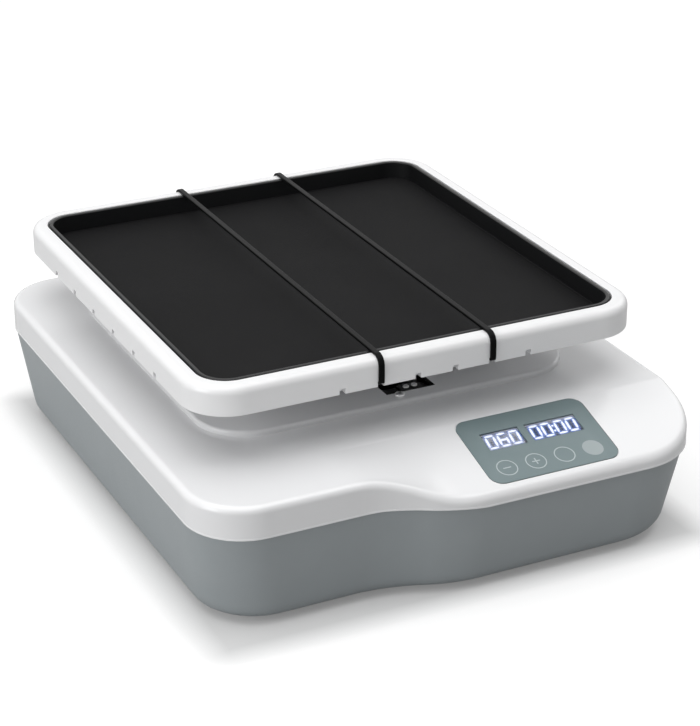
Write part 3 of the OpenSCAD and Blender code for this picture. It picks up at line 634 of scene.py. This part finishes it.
def base_plan(name, z):
    piece = rounded_plate(name, base_w, base_d, 0, z=z)
    choose("EDGE", lambda e: all(v.co.y < 0 for v in e.verts))
    bpy.ops.mesh.subdivide(number_cuts=2)
    reach = ogee_r * math.tan(ogee_turn / 2)
    third = base_w / 6
    for start_x, goal in ((-side_x, (-side_x, front_l)), (-third, (ogee_x0 + reach, front_l)),
                          (third, (ogee_x1 - reach, front_c))):
        choose("VERT", lambda v: abs(v.co.x - start_x) < 1e-4 and v.co.y < 0)
        bpy.ops.transform.translate(value=(goal[0] - start_x, goal[1] - front_c, 0))
    for radius, steps, test in (
            (corner_r, 12, lambda c: c.y > 0 or c.x < -100 * MM),
            (console_r, 14, lambda c: c.x > 100 * MM and c.y < 0),
            (reach * 0.998, 9, lambda c: abs(c.x) < 50 * MM)):
        choose("VERT", lambda v: test(v.co))
        bpy.ops.mesh.bevel(offset=radius, segments=steps, affect="VERTICES")
    choose("FACE", lambda f: True)
    return piece


def seam_at(x, y):
    """Height of the seam: level behind, and lower along the front of the console."""
    drop = seam_z - console_z
    x0, x1 = ogee_x0 + 10 * MM, ogee_x1 + 4 * MM
    by_x = seam_z - drop * min(1, max(0, (x - x0) / (x1 - x0)))
    by_y = console_z + drop * min(1, max(0, (y - dip_start) / dip_run))
    return max(by_x, by_y)


def roof_at(x, y):
    """How far the top falls below its level: not at all at the left, fully over the console."""
    share = min(1, max(0, (x - roof_start) / roof_run))
    ahead = slope_y - y
    if abs(ahead) < roof_bend:
        ahead = (ahead + roof_bend) ** 2 / (4 * roof_bend)
    return -max(0, ahead) * math.tan(slope_angle) * share * share * (3 - 2 * share)


print("plan of the base is ready")

# %% [markdown]
# ## The tub
# A drafted box of textured grey plastic, open at the top. The plan is turned to face down and grown
# downwards with inset: each inset narrows it evenly, which keeps the draft the same on all sides.
# A scaled extrusion would narrow the long sides more than the short ones. The corners also get
# rounder on the way down, so each point of a lower ring slides round its corner.

# %% Tub
tub_draft, tub_h, tub_fillet, bottom_round = 7 * MM, 52 * MM, 8 * MM, 10 * MM
hold = 0.6 * MM  # a narrow ring beside a bend keeps the shading of the flat wall flat
blend_run = 30 * MM
corners = [(-1, 1, corner_r, back_y), (1, 1, corner_r, back_y), (-1, -1, corner_r, -front_l),
           (1, -1, console_r, -front_c)]


def grow_corner(co):
    """Slide a point of the tub to where a rounder corner has it. The seam keeps its own."""
    grow = bottom_round * max(0, seam_z - co.z) / tub_h
    for sx, sy, radius, edge_y in corners:
        u, v = co.x * sx - (side_x - radius), co.y * sy - (edge_y - radius)
        if u > -0.5 * MM and v > -0.5 * MM:
            turn = math.atan2(max(v, 0), max(u, 0))
            co.x -= sx * grow * (1 - math.cos(turn))
            co.y -= sy * grow * (1 - math.sin(turn))
        elif u > 0 and v > -blend_run:
            co.y -= sy * grow * (1 + v / blend_run)


tub = base_plan("tub_shell", seam_z)
step(hold, 0)
choose("FACE", lambda f: len(f.verts) == 4)
bpy.ops.mesh.delete(type="FACE")
for line in (dip_start + dip_run, dip_start + 30 * MM, slope_y + 4 * MM):
    cut_across((0, line, 0), (0, 1, 0))
choose("FACE", lambda f: True)
bpy.ops.mesh.dissolve_faces()
bpy.ops.mesh.flip_normals()
slant = tub_draft / tub_h
for wall_h in (tub_h - tub_fillet - hold, hold):
    step(slant * wall_h, wall_h)
for away, along in quarter(1, 8):
    step(tub_fillet * (away + slant / 8), tub_fillet * along)
close_edit()
for v in tub.data.vertices:
    grow_corner(v.co)

# The upper ring slides down its own wall to the dipped seam, so the draft is kept.
mesh = bmesh.new()
mesh.from_mesh(tub.data)
for v in mesh.verts:
    if abs(v.co.z - seam_z) < 1e-5:
        below = min((e.other_vert(v) for e in v.link_edges), key=lambda w: w.co.z)
        v.co = v.co.lerp(below.co, (seam_z - seam_at(v.co.x, v.co.y)) / (seam_z - below.co.z))
mesh.to_mesh(tub.data)
mesh.free()
modify(tub, "SOLIDIFY", thickness=wall_t, offset=-1, use_quality_normals=True)
lowest = min(v.co.z for v in tub.data.vertices)
print("tub", len(tub.data.polygons), "faces, lowest", round(lowest / MM, 2))

# %% [markdown]
# The inlet and the switch sit in a shallow upright pocket in the back wall. A block is joined to
# the wall from inside, and the pocket and the two holes are cut into it, as a core in the mould
# would do. The wells of the cover's screws are drilled into the floor from below.

# %% Pocket, holes and wells of the tub
pad_x, pad_y, pad_z = (38 * MM, 98 * MM), back_y - 10.5 * MM, (16 * MM, 44 * MM)
switch_at, switch_w, switch_h = (82 * MM, 30 * MM), 19 * MM, 13 * MM
inlet_at, barrel_r = (55 * MM, 30 * MM), 5.5 * MM
posts = [(-113.2, 137.5), (113.2, 137.5), (-113.2, -124.2), (110.2, -132.5)]
feet = [(-96.2, 124.5), (96.2, 124.5), (-96.2, -109.2), (94.2, -118.5)]


def round_cutter(name, radius, x, y, z0, z1, along="Z", sides=32):
    """A rod, used as a cutter and for the shank of a screw."""
    piece = fresh(name, bpy.ops.mesh.primitive_cylinder_add, vertices=sides, radius=radius,
                  depth=z1 - z0)
    if along == "Y":
        return lay(piece, (math.pi / 2, 0, 0), (x, (z0 + z1) / 2, y))
    return lay(piece, (0, 0, 0), (x, y, (z0 + z1) / 2))


combine(tub, solid_box("pocket_block", (pad_x[0], pad_y - 3 * MM, pad_z[0] - 2 * MM),
                       (pad_x[1], pad_y + 1.8 * MM, pad_z[1] + 2 * MM)), "UNION")
combine(tub, solid_box("pocket", (pad_x[0] + 2.5 * MM, pad_y, pad_z[0] + 1 * MM),
                       (pad_x[1] - 2.5 * MM, pad_y + 30 * MM, pad_z[1] - 1 * MM)))
combine(tub, round_cutter("inlet_hole", barrel_r, *inlet_at, pad_y - 6 * MM, pad_y + 4 * MM, "Y"))
reach_x, reach_z = switch_w / 2, switch_h / 2
combine(tub, solid_box(
    "switch_hole", (switch_at[0] - reach_x, pad_y - 6 * MM, switch_at[1] - reach_z),
    (switch_at[0] + reach_x, pad_y + 6 * MM, switch_at[1] + reach_z)))
wells = [round_cutter("well", 3.5 * MM, x * MM, y * MM, 0, 8 * MM) for x, y in posts]
combine(tub, join(wells, "wells"))
finish_piece(tub, "base", "tub_grey", "tub", smooth=30)

# %% [markdown]
# ## The cover
# The white cover starts from the same plan. Above a fine lip at the seam it rises as a short
# upright wall, rounds over and ends in one flat face. Cuts across that face make points where it
# has to bend, and then every point is lowered by the fall of the roof there. The seam is shaped in
# the same way.

# %% Cover
cover_lip, lip_in, hold, cover_round = 0.8 * MM, 0.1 * MM, 0.5 * MM, 3.6 * MM
cover = base_plan("cover_shell", seam_z)
rise(cover_lip)
step(lip_in, lip_in)
rise(cover_z - seam_z - (cover_lip + lip_in + hold + cover_round))
rise(hold)
round_out(cover_round, 7)
step(0.6 * MM, 0)
for k in range(11):
    cut_across((roof_start + k * 6.2 * MM, 0, 0), (1, 0, 0))
for k in (-1.3, -0.65, 0, 0.65, 1.3, -2.2, 2.2, 10, 3):
    cut_across((0, slope_y + k * MM, 0), (0, 1, 0))
cut_across((0, dip_start, 0), (0, 1, 0))
close_edit()
for v in cover.data.vertices:
    x, y = v.co.x, v.co.y
    lip_ring = v.co.z < seam_z + cover_lip + lip_in + 0.16 * MM
    v.co.z += seam_at(x, y) - seam_z if lip_ring else roof_at(x, y)
modify(cover, "SOLIDIFY", thickness=wall_t, offset=-1, use_quality_normals=True)
print("cover", len(cover.data.polygons), "faces")

# %% [markdown]
# Under the tray the cover rises to a plateau that carries the pivot blocks. It is joined on as a
# rounded slab and hollowed from below. Then come the opening for the drive rod and the recess of
# the panel, whose cutter is made flat and laid onto the slope.

# %% Plateau, opening and panel recess
plat_w, plat_d, plat_r, plat_round = 216 * MM, 211 * MM, 30 * MM, 1.6 * MM
sunk = 1.5 * MM  # how deep the slab starts inside the cover
plateau = rounded_plate("plateau", plat_w, plat_d, plat_r, (0, tray_y), cover_z - sunk, 14)
rise(plat_z - cover_z + sunk - plat_round)
round_out(plat_round, 5)
step(0.5 * MM, 0)
close_solid()
combine(cover, plateau, "UNION")

hollow_low = 66 * MM
hollow = rounded_plate("hollow", plat_w - 2 * wall_t, plat_d - 2 * wall_t, plat_r - wall_t,
                       (0, tray_y), hollow_low, 10)
rise(plat_z - wall_t - hollow_low)
close_solid()
combine(cover, hollow)

open_low, open_high = (-6 * MM, tray_y - 96 * MM, 60 * MM), (23 * MM, tray_y - 72 * MM, 80 * MM)
combine(cover, solid_box("drive_slot", open_low, open_high))

panel_w, panel_h, panel_r = 75.8 * MM, 48.9 * MM, 7 * MM
panel_x, panel_y = 48.8 * MM, -24.85 * MM
panel_gap, recess_h = 0.35 * MM, 0.6 * MM
recess = rounded_plate("recess", panel_w + 2 * panel_gap, panel_h + 2 * panel_gap,
                       panel_r + panel_gap, (panel_x, panel_y), -recess_h, 14)
rise(5 * MM)
close_solid()
combine(cover, onto_slope(recess))
finish_piece(cover, "base", "cover_white", "top_cover", smooth=30)

# %% [markdown]
# ## The tray
# One moulding with a hollow rim. A rounded plate rises as the outer wall, rounds over, crosses the
# top of the rim, rounds into the inner wall and ends as the floor, so that one skin holds it all.
# Solidify then gives it its wall, and the notches that hold the bands are cut into its lower edge.

# %% Tray
low_ring, hold, edge_r, floor_r = 3.4 * MM, 0.5 * MM, 0.5 * MM, 1.2 * MM
tray = rounded_plate("tray_shell", out_w, out_d, tray_r + rim_w, (0, tray_y), rim_low, 14)
rise(low_ring)
rise(rim_z - rim_fillet - rim_low - (low_ring + hold))
rise(hold)
round_out(rim_fillet, 8)
step(rim_w - rim_fillet - edge_r, 0)
round_in(edge_r, 3)
step(0, -(rim_z - edge_r - mat_z - 0.7 * MM))
round_floor(floor_r, 3)
step(0.5 * MM, 0)
close_edit()
modify(tray, "SOLIDIFY", thickness=rim_t, offset=-1, use_even_offset=True)

notch_half, notch_deep, notch_h = 1.7 * MM, 4.2 * MM, 3 * MM
spots = [(x, tray_y + side * out_d / 2, notch_half, notch_deep)
         for x in notch_x for side in (-1, 1)]
spots += [(side * out_w / 2, y, notch_deep, notch_half)
          for y in notch_y for side in (-1, 1)]
cutters = [solid_box("notch", (x - half_x, y - half_y, rim_low - 2 * MM),
                     (x + half_x, y + half_y, rim_low + notch_h)) for x, y, half_x, half_y in spots]
print(len(cutters), "notches")
combine(tray, join(cutters, "notches"))
finish_piece(tray, "rocker", "tray_white", "tray", smooth=30)

# %% [markdown]
# ## The mat
# A sheet of soft black rubber whose edge stands up along the inside of the rim. The lip has a low
# ledge next to the rim and a rounded ridge inside it, and a groove parts it from the flat middle.
# The lip is smoother than the middle, so its faces are picked by height and given their own
# material.

# %% Mat
gap, lip_top, mat_top = 0.15 * MM, 117.95 * MM, 108 * MM
ledge, ledge_drop, ridge, ridge_flat = 0.9 * MM, 1.6 * MM, 0.7 * MM, 0.8 * MM
groove_w, groove_h, groove_r = 1.6 * MM, 0.8 * MM, 0.3 * MM
mat = rounded_plate("mat_sheet", tray_w - 2 * gap, tray_d - 2 * gap, tray_r - gap,
                    (0, tray_y), mat_z, 12)
rise(lip_top - ledge_drop - mat_z)
step(ledge, 0)
rise(ledge_drop - ridge)
round_out(ridge, 4)
step(ridge_flat, 0)
round_in(ridge, 4)
step(0.1 * MM, -(lip_top - ridge - mat_top))
round_floor(groove_h, 4)
step(groove_w, 0)
step(0.1 * MM, groove_h - groove_r)
round_out(groove_r, 3)
step(1.0 * MM, 0)
close_piece()
finish_piece(mat, "rocker", "mat_rubber", "tray_mat", smooth=40)
mat.data.materials.append(looks["lip_rubber"])
for face in mat.data.polygons:
    face.material_index = int(face.center.z > mat_top + groove_h)

# %% [markdown]
# ## The elastic bands
# A flat black band spans the tray, bends over each rim and hooks under its outer wall in a notch.
# A strip is added along the top, and its ends are spun round the edge of the rim, drawn down and
# spun once more to make the hook. The mirrored half comes from the same operators.

# %% Bands
band_w, band_t, hook_tip = 3.2 * MM, 1.6 * MM, 1.6 * MM
top_z, hook_z = rim_z - rim_fillet, rim_low + notch_h


def elastic_band(name, x):
    half = out_d / 2
    piece = rounded_plate(name, band_w, 2 * (half - rim_fillet), 0, (x, tray_y), rim_z)
    rise(band_t)
    close_bottom()
    face_outwards()
    for line in range(-5, 6):
        cut_across((0, tray_y + line * half / 6, 0), (0, 1, 0))
    for side in (1, -1):
        end, quarter_turn = tray_y + side * (half - rim_fillet), side * math.pi / 2
        choose("FACE", lambda f: abs(f.calc_center_median().y - end) < 1e-5)
        bpy.ops.mesh.spin(steps=8, angle=quarter_turn, center=(x, end, top_z), axis=(1, 0, 0))
        for part in range(4):
            rise(-(top_z - hook_z) / 4)
        bpy.ops.mesh.spin(steps=5, angle=quarter_turn, center=(x, tray_y + side * half, hook_z),
                          axis=(1, 0, 0))
        extrude(0, -side * (rim_t + 1.2 * MM), 0)
        extrude(0, -side * hook_tip, 0)
        bpy.ops.transform.resize(value=(1, 1, 1.5))
    take_all()
    bpy.ops.mesh.remove_doubles(threshold=1e-6)
    face_outwards()
    close_edit()
    modify(piece, "BEVEL", width=0.45 * MM, segments=3, limit_method="ANGLE",
           angle_limit=math.radians(60))
    return piece


for name, x, node in (("elastic_left", notch_x[1], "band_left"),
                      ("elastic_right", notch_x[4], "band_right")):
    finish_piece(elastic_band(name, x), "rocker", "band_elastic", node, smooth=50)

# %% [markdown]
# ## The control panel
# A printed film lies in the recess of the sloped console. Two windows are cut into it, and lit
# modules stand behind them. Everything here is made flat, with its centre line where the slope
# begins, and laid onto the slope at the end.

# %% Film
win_y, win_h = -18.7 * MM, 13 * MM
win_speed, win_time = (32.3 * MM, 22.4 * MM), (62.5 * MM, 30.1 * MM)
film_top, film_round = 0.2 * MM, 0.15 * MM
film = rounded_plate("panel_film", panel_w, panel_h, panel_r, (panel_x, panel_y), -recess_h, 14)
rise(recess_h + film_top - film_round)
round_out(film_round, 3)
step(0.3 * MM, 0)
close_solid()
for middle, width in (win_speed, win_time):
    cutter = rounded_plate("window_cutter", width, win_h, 0.25 * MM, (middle, win_y), -3 * MM, 3)
    rise(6 * MM)
    close_solid()
    combine(film, cutter)
finish_piece(onto_slope(film), "base", "overlay_grey", "control_panel", smooth=30)

# %% [markdown]
# ### Seven-segment digits
# A lit bar is a stretched hexagon, made from a circle of six points. One is made, turned and placed
# for each bar that is lit. The digits lean a little, as they do on real modules.

# %% Lit bars
LEAN = 0.10
BAR, BAR_H, BAR_Z = 1.3 * MM, 0.1 * MM, -0.6 * MM
DIGIT_W, DIGIT_H = 4.5 * MM, 8.9 * MM
SPEED_PITCH, TIME_PITCH, COLON_GAP = 7.0, 6.85, 0.55
DOT_R, DOT_OFF = 0.62 * MM, 1.9 * MM
BARS = {"top": (0, 1, 0), "upper right": (0.5, 0.5, 1), "lower right": (0.5, -0.5, 1),
        "bottom": (0, -1, 0), "lower left": (-0.5, -0.5, 1), "upper left": (-0.5, 0.5, 1),
        "middle": (0, 0, 0)}
ZERO = ("top", "upper right", "lower right", "bottom", "lower left", "upper left")
SIX = ("top", "lower right", "bottom", "lower left", "upper left", "middle")


def hexagon_bar(length):
    corner = BAR / math.sqrt(3)
    piece = turned("lit_bar", corner, sides=6)
    for side in (-1, 1):
        choose("VERT", lambda v: v.co.x * side > 0.1 * BAR)
        bpy.ops.transform.translate(value=(side * (length / 2 - corner), 0, 0))
    take_all()
    bpy.ops.mesh.bevel(offset=0.22 * MM, segments=3, affect="VERTICES")
    take_all()
    rise(BAR_H)
    close_edit()
    return piece


def digit(centre, shape):
    """The lit bars of one digit, and their two ends for the haze."""
    made, ends = [], []
    for name in shape:
        px, py, upright = BARS[name]
        x, y = centre + px * DIGIT_W, win_y + py * DIGIT_H / (4 if upright else 2)
        length = (DIGIT_H / 2 if upright else DIGIT_W) + 0.5 * MM
        made.append(lay(hexagon_bar(length), (0, 0, upright * math.pi / 2), (x, y, BAR_Z)))
        reach = length / 2 - BAR / 2
        away_x, away_y = (0, reach) if upright else (reach, 0)
        ends.append(((x - away_x, y - away_y), (x + away_x, y + away_y)))
    return made, ends


lit, spans = [], []
shown = [(win_speed[0] + (k - 1) * SPEED_PITCH * MM, shape)
         for k, shape in enumerate((ZERO, SIX, ZERO))]
shown += [(win_time[0] + ((k - 1.5) * TIME_PITCH + (COLON_GAP if k > 1 else -COLON_GAP)) * MM, ZERO)
          for k in range(4)]
for centre, shape in shown:
    made, ends = digit(centre, shape)
    lit += made
    spans += ends
for side in (-1, 1):
    dot = (win_time[0], win_y + side * DOT_OFF)
    lit.append(turned("lit_dot", DOT_R, *dot, BAR_Z, 20))
    rise(BAR_H)
    close_edit()
    spans.append((dot, dot))
digits = join(lit, "lit_digits")
for v in digits.data.vertices:
    v.co.x += LEAN * (v.co.y - win_y)
finish_piece(onto_slope(digits), "base", "led_lit", "lit_segments", smooth=30)
print(len(spans), "lit bars and dots")

# %% Windows with their haze
module_h = 6.9 * MM
haze_reach, haze_power = 0.62 * MM, 1.3


def off_bar(x, y, span):
    """Distance from a point to a lit bar."""
    (ax, ay), (bx, by) = span
    ax, bx = ax + LEAN * (ay - win_y), bx + LEAN * (by - win_y)
    lx, ly = bx - ax, by - ay
    along = max(0, min(1, ((x - ax) * lx + (y - ay) * ly) / (lx * lx + ly * ly + 1e-12)))
    return math.hypot(x - ax - along * lx, y - ay - along * ly)


def led_window(name, middle, width):
    """A block behind the film, whose fine front carries the haze of the bars."""
    piece = rounded_plate(name, width + 0.2 * MM, win_h + 0.8 * MM, 0.3 * MM, (middle, win_y),
                          BAR_Z - module_h, 3)
    rise(module_h)
    step(0.25 * MM, 0)
    for axis, start, span, count in (((1, 0, 0), middle - width / 2, width, 40),
                                     ((0, 1, 0), win_y - win_h / 2, win_h, 26)):
        for k in range(1, count):
            line = start + k * span / count
            choose("FACE", lambda f: f.normal.z > 0.9)
            bpy.ops.mesh.bisect(plane_co=[line * a for a in axis], plane_no=axis)
    close_piece()
    near = [s for s in spans if abs(s[0][0] - middle) < width / 2 + 1 * MM]
    haze = piece.data.attributes.new("haze", "FLOAT", "POINT")
    for v in piece.data.vertices:
        off = max(0, min(off_bar(v.co.x, v.co.y, s) for s in near) - BAR / 2)
        in_front = v.co.z > -1 * MM
        haze.data[v.index].value = math.exp(-(off / haze_reach) ** haze_power) if in_front else 0
    return onto_slope(piece)


for name, (middle, width), node in (("window_speed", win_speed, "speed_display"),
                                    ("window_time", win_time, "time_display")):
    finish_piece(led_window(name, middle, width), "base", "led_black", node)

# %% [markdown]
# ### Touch marks
# Four marks are printed on the film: rings with a minus and a plus, a bare ring and a full disc.
# A ring is a circle whose inner face is inset and deleted, and a print stands only 0.03 mm high.

# %% Touch marks
key_y, key_r, key_pitch = -39.2 * MM, 5.7 * MM, 17 * MM
ring_t, sign_l, sign_t, print_h = 0.55 * MM, 4.6 * MM, 0.62 * MM, 0.03 * MM


def disc(x, radius, ring=0.0):
    piece = turned("mark", radius, x, key_y, film_top, 64)
    if ring:
        bpy.ops.mesh.inset(thickness=ring)
        bpy.ops.mesh.delete(type="FACE")
        take_all()
    rise(print_h)
    close_edit()
    return piece


def stroke(x, width, height):
    round_r = min(width, height) * 0.45
    piece = rounded_plate("stroke", width, height, round_r, (x, key_y), film_top, 5)
    rise(print_h)
    close_edit()
    return piece


places = [panel_x + (k - 1.5) * key_pitch for k in range(4)]
printed = [disc(x, key_r, ring_t) for x in places[:3]]
printed += [stroke(places[0], sign_l, sign_t), stroke(places[1], sign_l, sign_t),
            stroke(places[1], sign_t, sign_l)]
finish_piece(onto_slope(join(printed, "touch_marks")), "base", "key_print", "key_marks")
full_disc = onto_slope(disc(places[3], key_r))
full_disc.name = full_disc.data.name = "touch_disc"
finish_piece(full_disc, "base", "key_print", look="key_disc")

# %% [markdown]
# ## Turned and cut small pieces
# A turned piece starts as one round face. Each inset narrows it and moves it along its own axis,
# so a list of steps is its profile, just as on a lathe. The pieces of the back are made facing up
# and then laid over.


# %% Feet
def widen(x_factor, y_factor):
    """A step outwards: a new ring round the chosen face, drawn larger."""
    extrude(0, 0, 0)
    bpy.ops.transform.resize(value=(x_factor, y_factor, 1))


foot_r, foot_round, foot_wall, hole_round = 9 * MM, 0.9 * MM, 4.2 * MM, 0.4 * MM
rubber = []
for x, y in feet:
    rubber.append(turned("foot", foot_r, x * MM, y * MM, foot_h))
    bpy.ops.mesh.flip_normals()
    step(0, foot_h - foot_round)
    round_out(foot_round, 5)
    step(foot_wall, 0)
    round_in(hole_round, 3)
    step(0, -2.3 * MM)
    close_piece()
soles = join(rubber, "rubber_feet")
finish_piece(soles, "base", "foot_rubber", "base_feet", smooth=40)


# %% Inlet
def onto_back(piece, place):
    """Lay a piece that faces up against the pocket in the back wall."""
    return lay(piece, (-math.pi / 2, 0, 0), (place[0], pad_y, place[1]))


collar_r, collar_round, mouth_r, mouth_round = 7 * MM, 0.35 * MM, 3.5 * MM, 0.3 * MM
socket = turned("inlet_socket", barrel_r, z=-15 * MM)
step(0, 15 * MM)
widen(collar_r / barrel_r, collar_r / barrel_r)
step(0, 1.5 * MM - collar_round)
round_out(collar_round, 4)
step(collar_r - collar_round - mouth_r, 0)
round_in(mouth_round, 3)
step(0, -9.2 * MM)
close_piece()
finish_piece(onto_back(socket, inlet_at), "base", "black_plastic", "dc_inlet", smooth=30)

pin = turned("inlet_pin", 1 * MM, z=-7.95 * MM, sides=24)
step(0, 7.0 * MM)
round_out(0.45 * MM, 4)
close_piece()
finish_piece(onto_back(pin, inlet_at), "base", "screw_steel", smooth=40)

# %% [markdown]
# The power switch is a bezel with a pocket, and a rocking paddle in it. The paddle is a plate whose
# top is cut into strips and bent to a shallow hollow with one raised end.

# %% Power switch
bezel_edge, bezel_round, pocket_round = 1 * MM, 0.4 * MM, 0.3 * MM
bezel = rounded_plate("switch_bezel", switch_w, switch_h, 0, z=-14 * MM)
rise(14 * MM)
widen((switch_w + 2 * bezel_edge) / switch_w, (switch_h + 2 * bezel_edge) / switch_h)
step(0, 1.5 * MM - bezel_round)
round_out(bezel_round, 4)
step(2.3 * MM, 0)
round_in(pocket_round, 3)
step(0, -8.2 * MM)
close_piece()
finish_piece(onto_back(bezel, switch_at), "base", "black_plastic", "switch_frame", smooth=30)


def paddle_top(x):
    """How far the top is raised, in mm: a shallow hollow, with one end higher than the other."""
    return 0.95 + 0.019 * x * x - (0.06 if x < 0 else 0.17) * x


paddle = rounded_plate("switch_paddle", 13 * MM, 8 * MM, 0.5 * MM, z=-1.5 * MM, steps=3)
rise(1.2 * MM)
round_out(0.35 * MM, 3)
for k in range(-9, 10):
    cut_across((k * 0.7 * MM, 0, 0), (1, 0, 0))
close_piece()
for v in paddle.data.vertices:
    x = v.co.x / MM
    if v.co.z > -1.2 * MM:
        v.co.z += paddle_top(x) * MM
    else:
        v.co.z -= max(0, 1.7 - 0.27 * abs(x)) * MM
finish_piece(onto_back(paddle, switch_at), "switch", "switch_black", "switch_rocker", smooth=40)

# %% [markdown]
# ### Screw heads in the opening
# Three cross-recess screws catch the light in and before the dark opening. The dome is a quarter of
# an ellipse, made by insets, and the recess is cut by two thin boxes.


# %% Cross-recess screws
def cross_screw(name, radius, height, x, y, z, shank=0.0):
    piece = turned(name, radius, x, y, z, 32)
    step(0, 0.35 * height)
    for away, along in list(quarter(1, 6))[:5]:
        step(0.9 * radius * away, 0.62 * height * along)
    close_piece()
    slot_l, slot_w, low = radius * 0.5, radius * 0.11, z + height * 0.45
    for a, b in ((slot_l, slot_w), (slot_w, slot_l)):
        cutter = solid_box("cross", (x - a, y - b, low), (x + a, y + b, z + height * 2))
        combine(piece, cutter)
    if shank:
        piece = join([piece, round_cutter("shank", 1.5 * MM, x, y, z - shank, z, sides=20)], name)
    soften(piece, 30)
    return piece


opening_screw = cross_screw("opening_screw_head", 2.75 * MM, 2 * MM, 0, tray_y - 99.4 * MM, plat_z,
                            shank=5 * MM)
finish_piece(opening_screw, "base", "screw_steel", "opening_screw")
heads = join([cross_screw("head", 1.7 * MM, 1.3 * MM, x * MM, tray_y - 90 * MM, 74.7 * MM)
              for x in (8.5, 13.5)], "sensor_screw_heads")
finish_piece(heads, "base", "screw_steel", "sensor_screws")

# %% [markdown]
# ## The parts that stay as the CAD made them
# The frame, the drive, the boards and their screws have the right shape already. They get real
# finishes in place of the flat ones, and nothing else.

# %% Finishes for the CAD nodes
for entry in frame["record"]["subparts"]:
    node, slot = frame["nodes"][entry["node"]], entry["material_slot"]
    node.data.materials.clear()
    node.data.materials.append(looks[look_of.get(slot, slot)])
print(len(frame["nodes"]), "CAD nodes dressed")
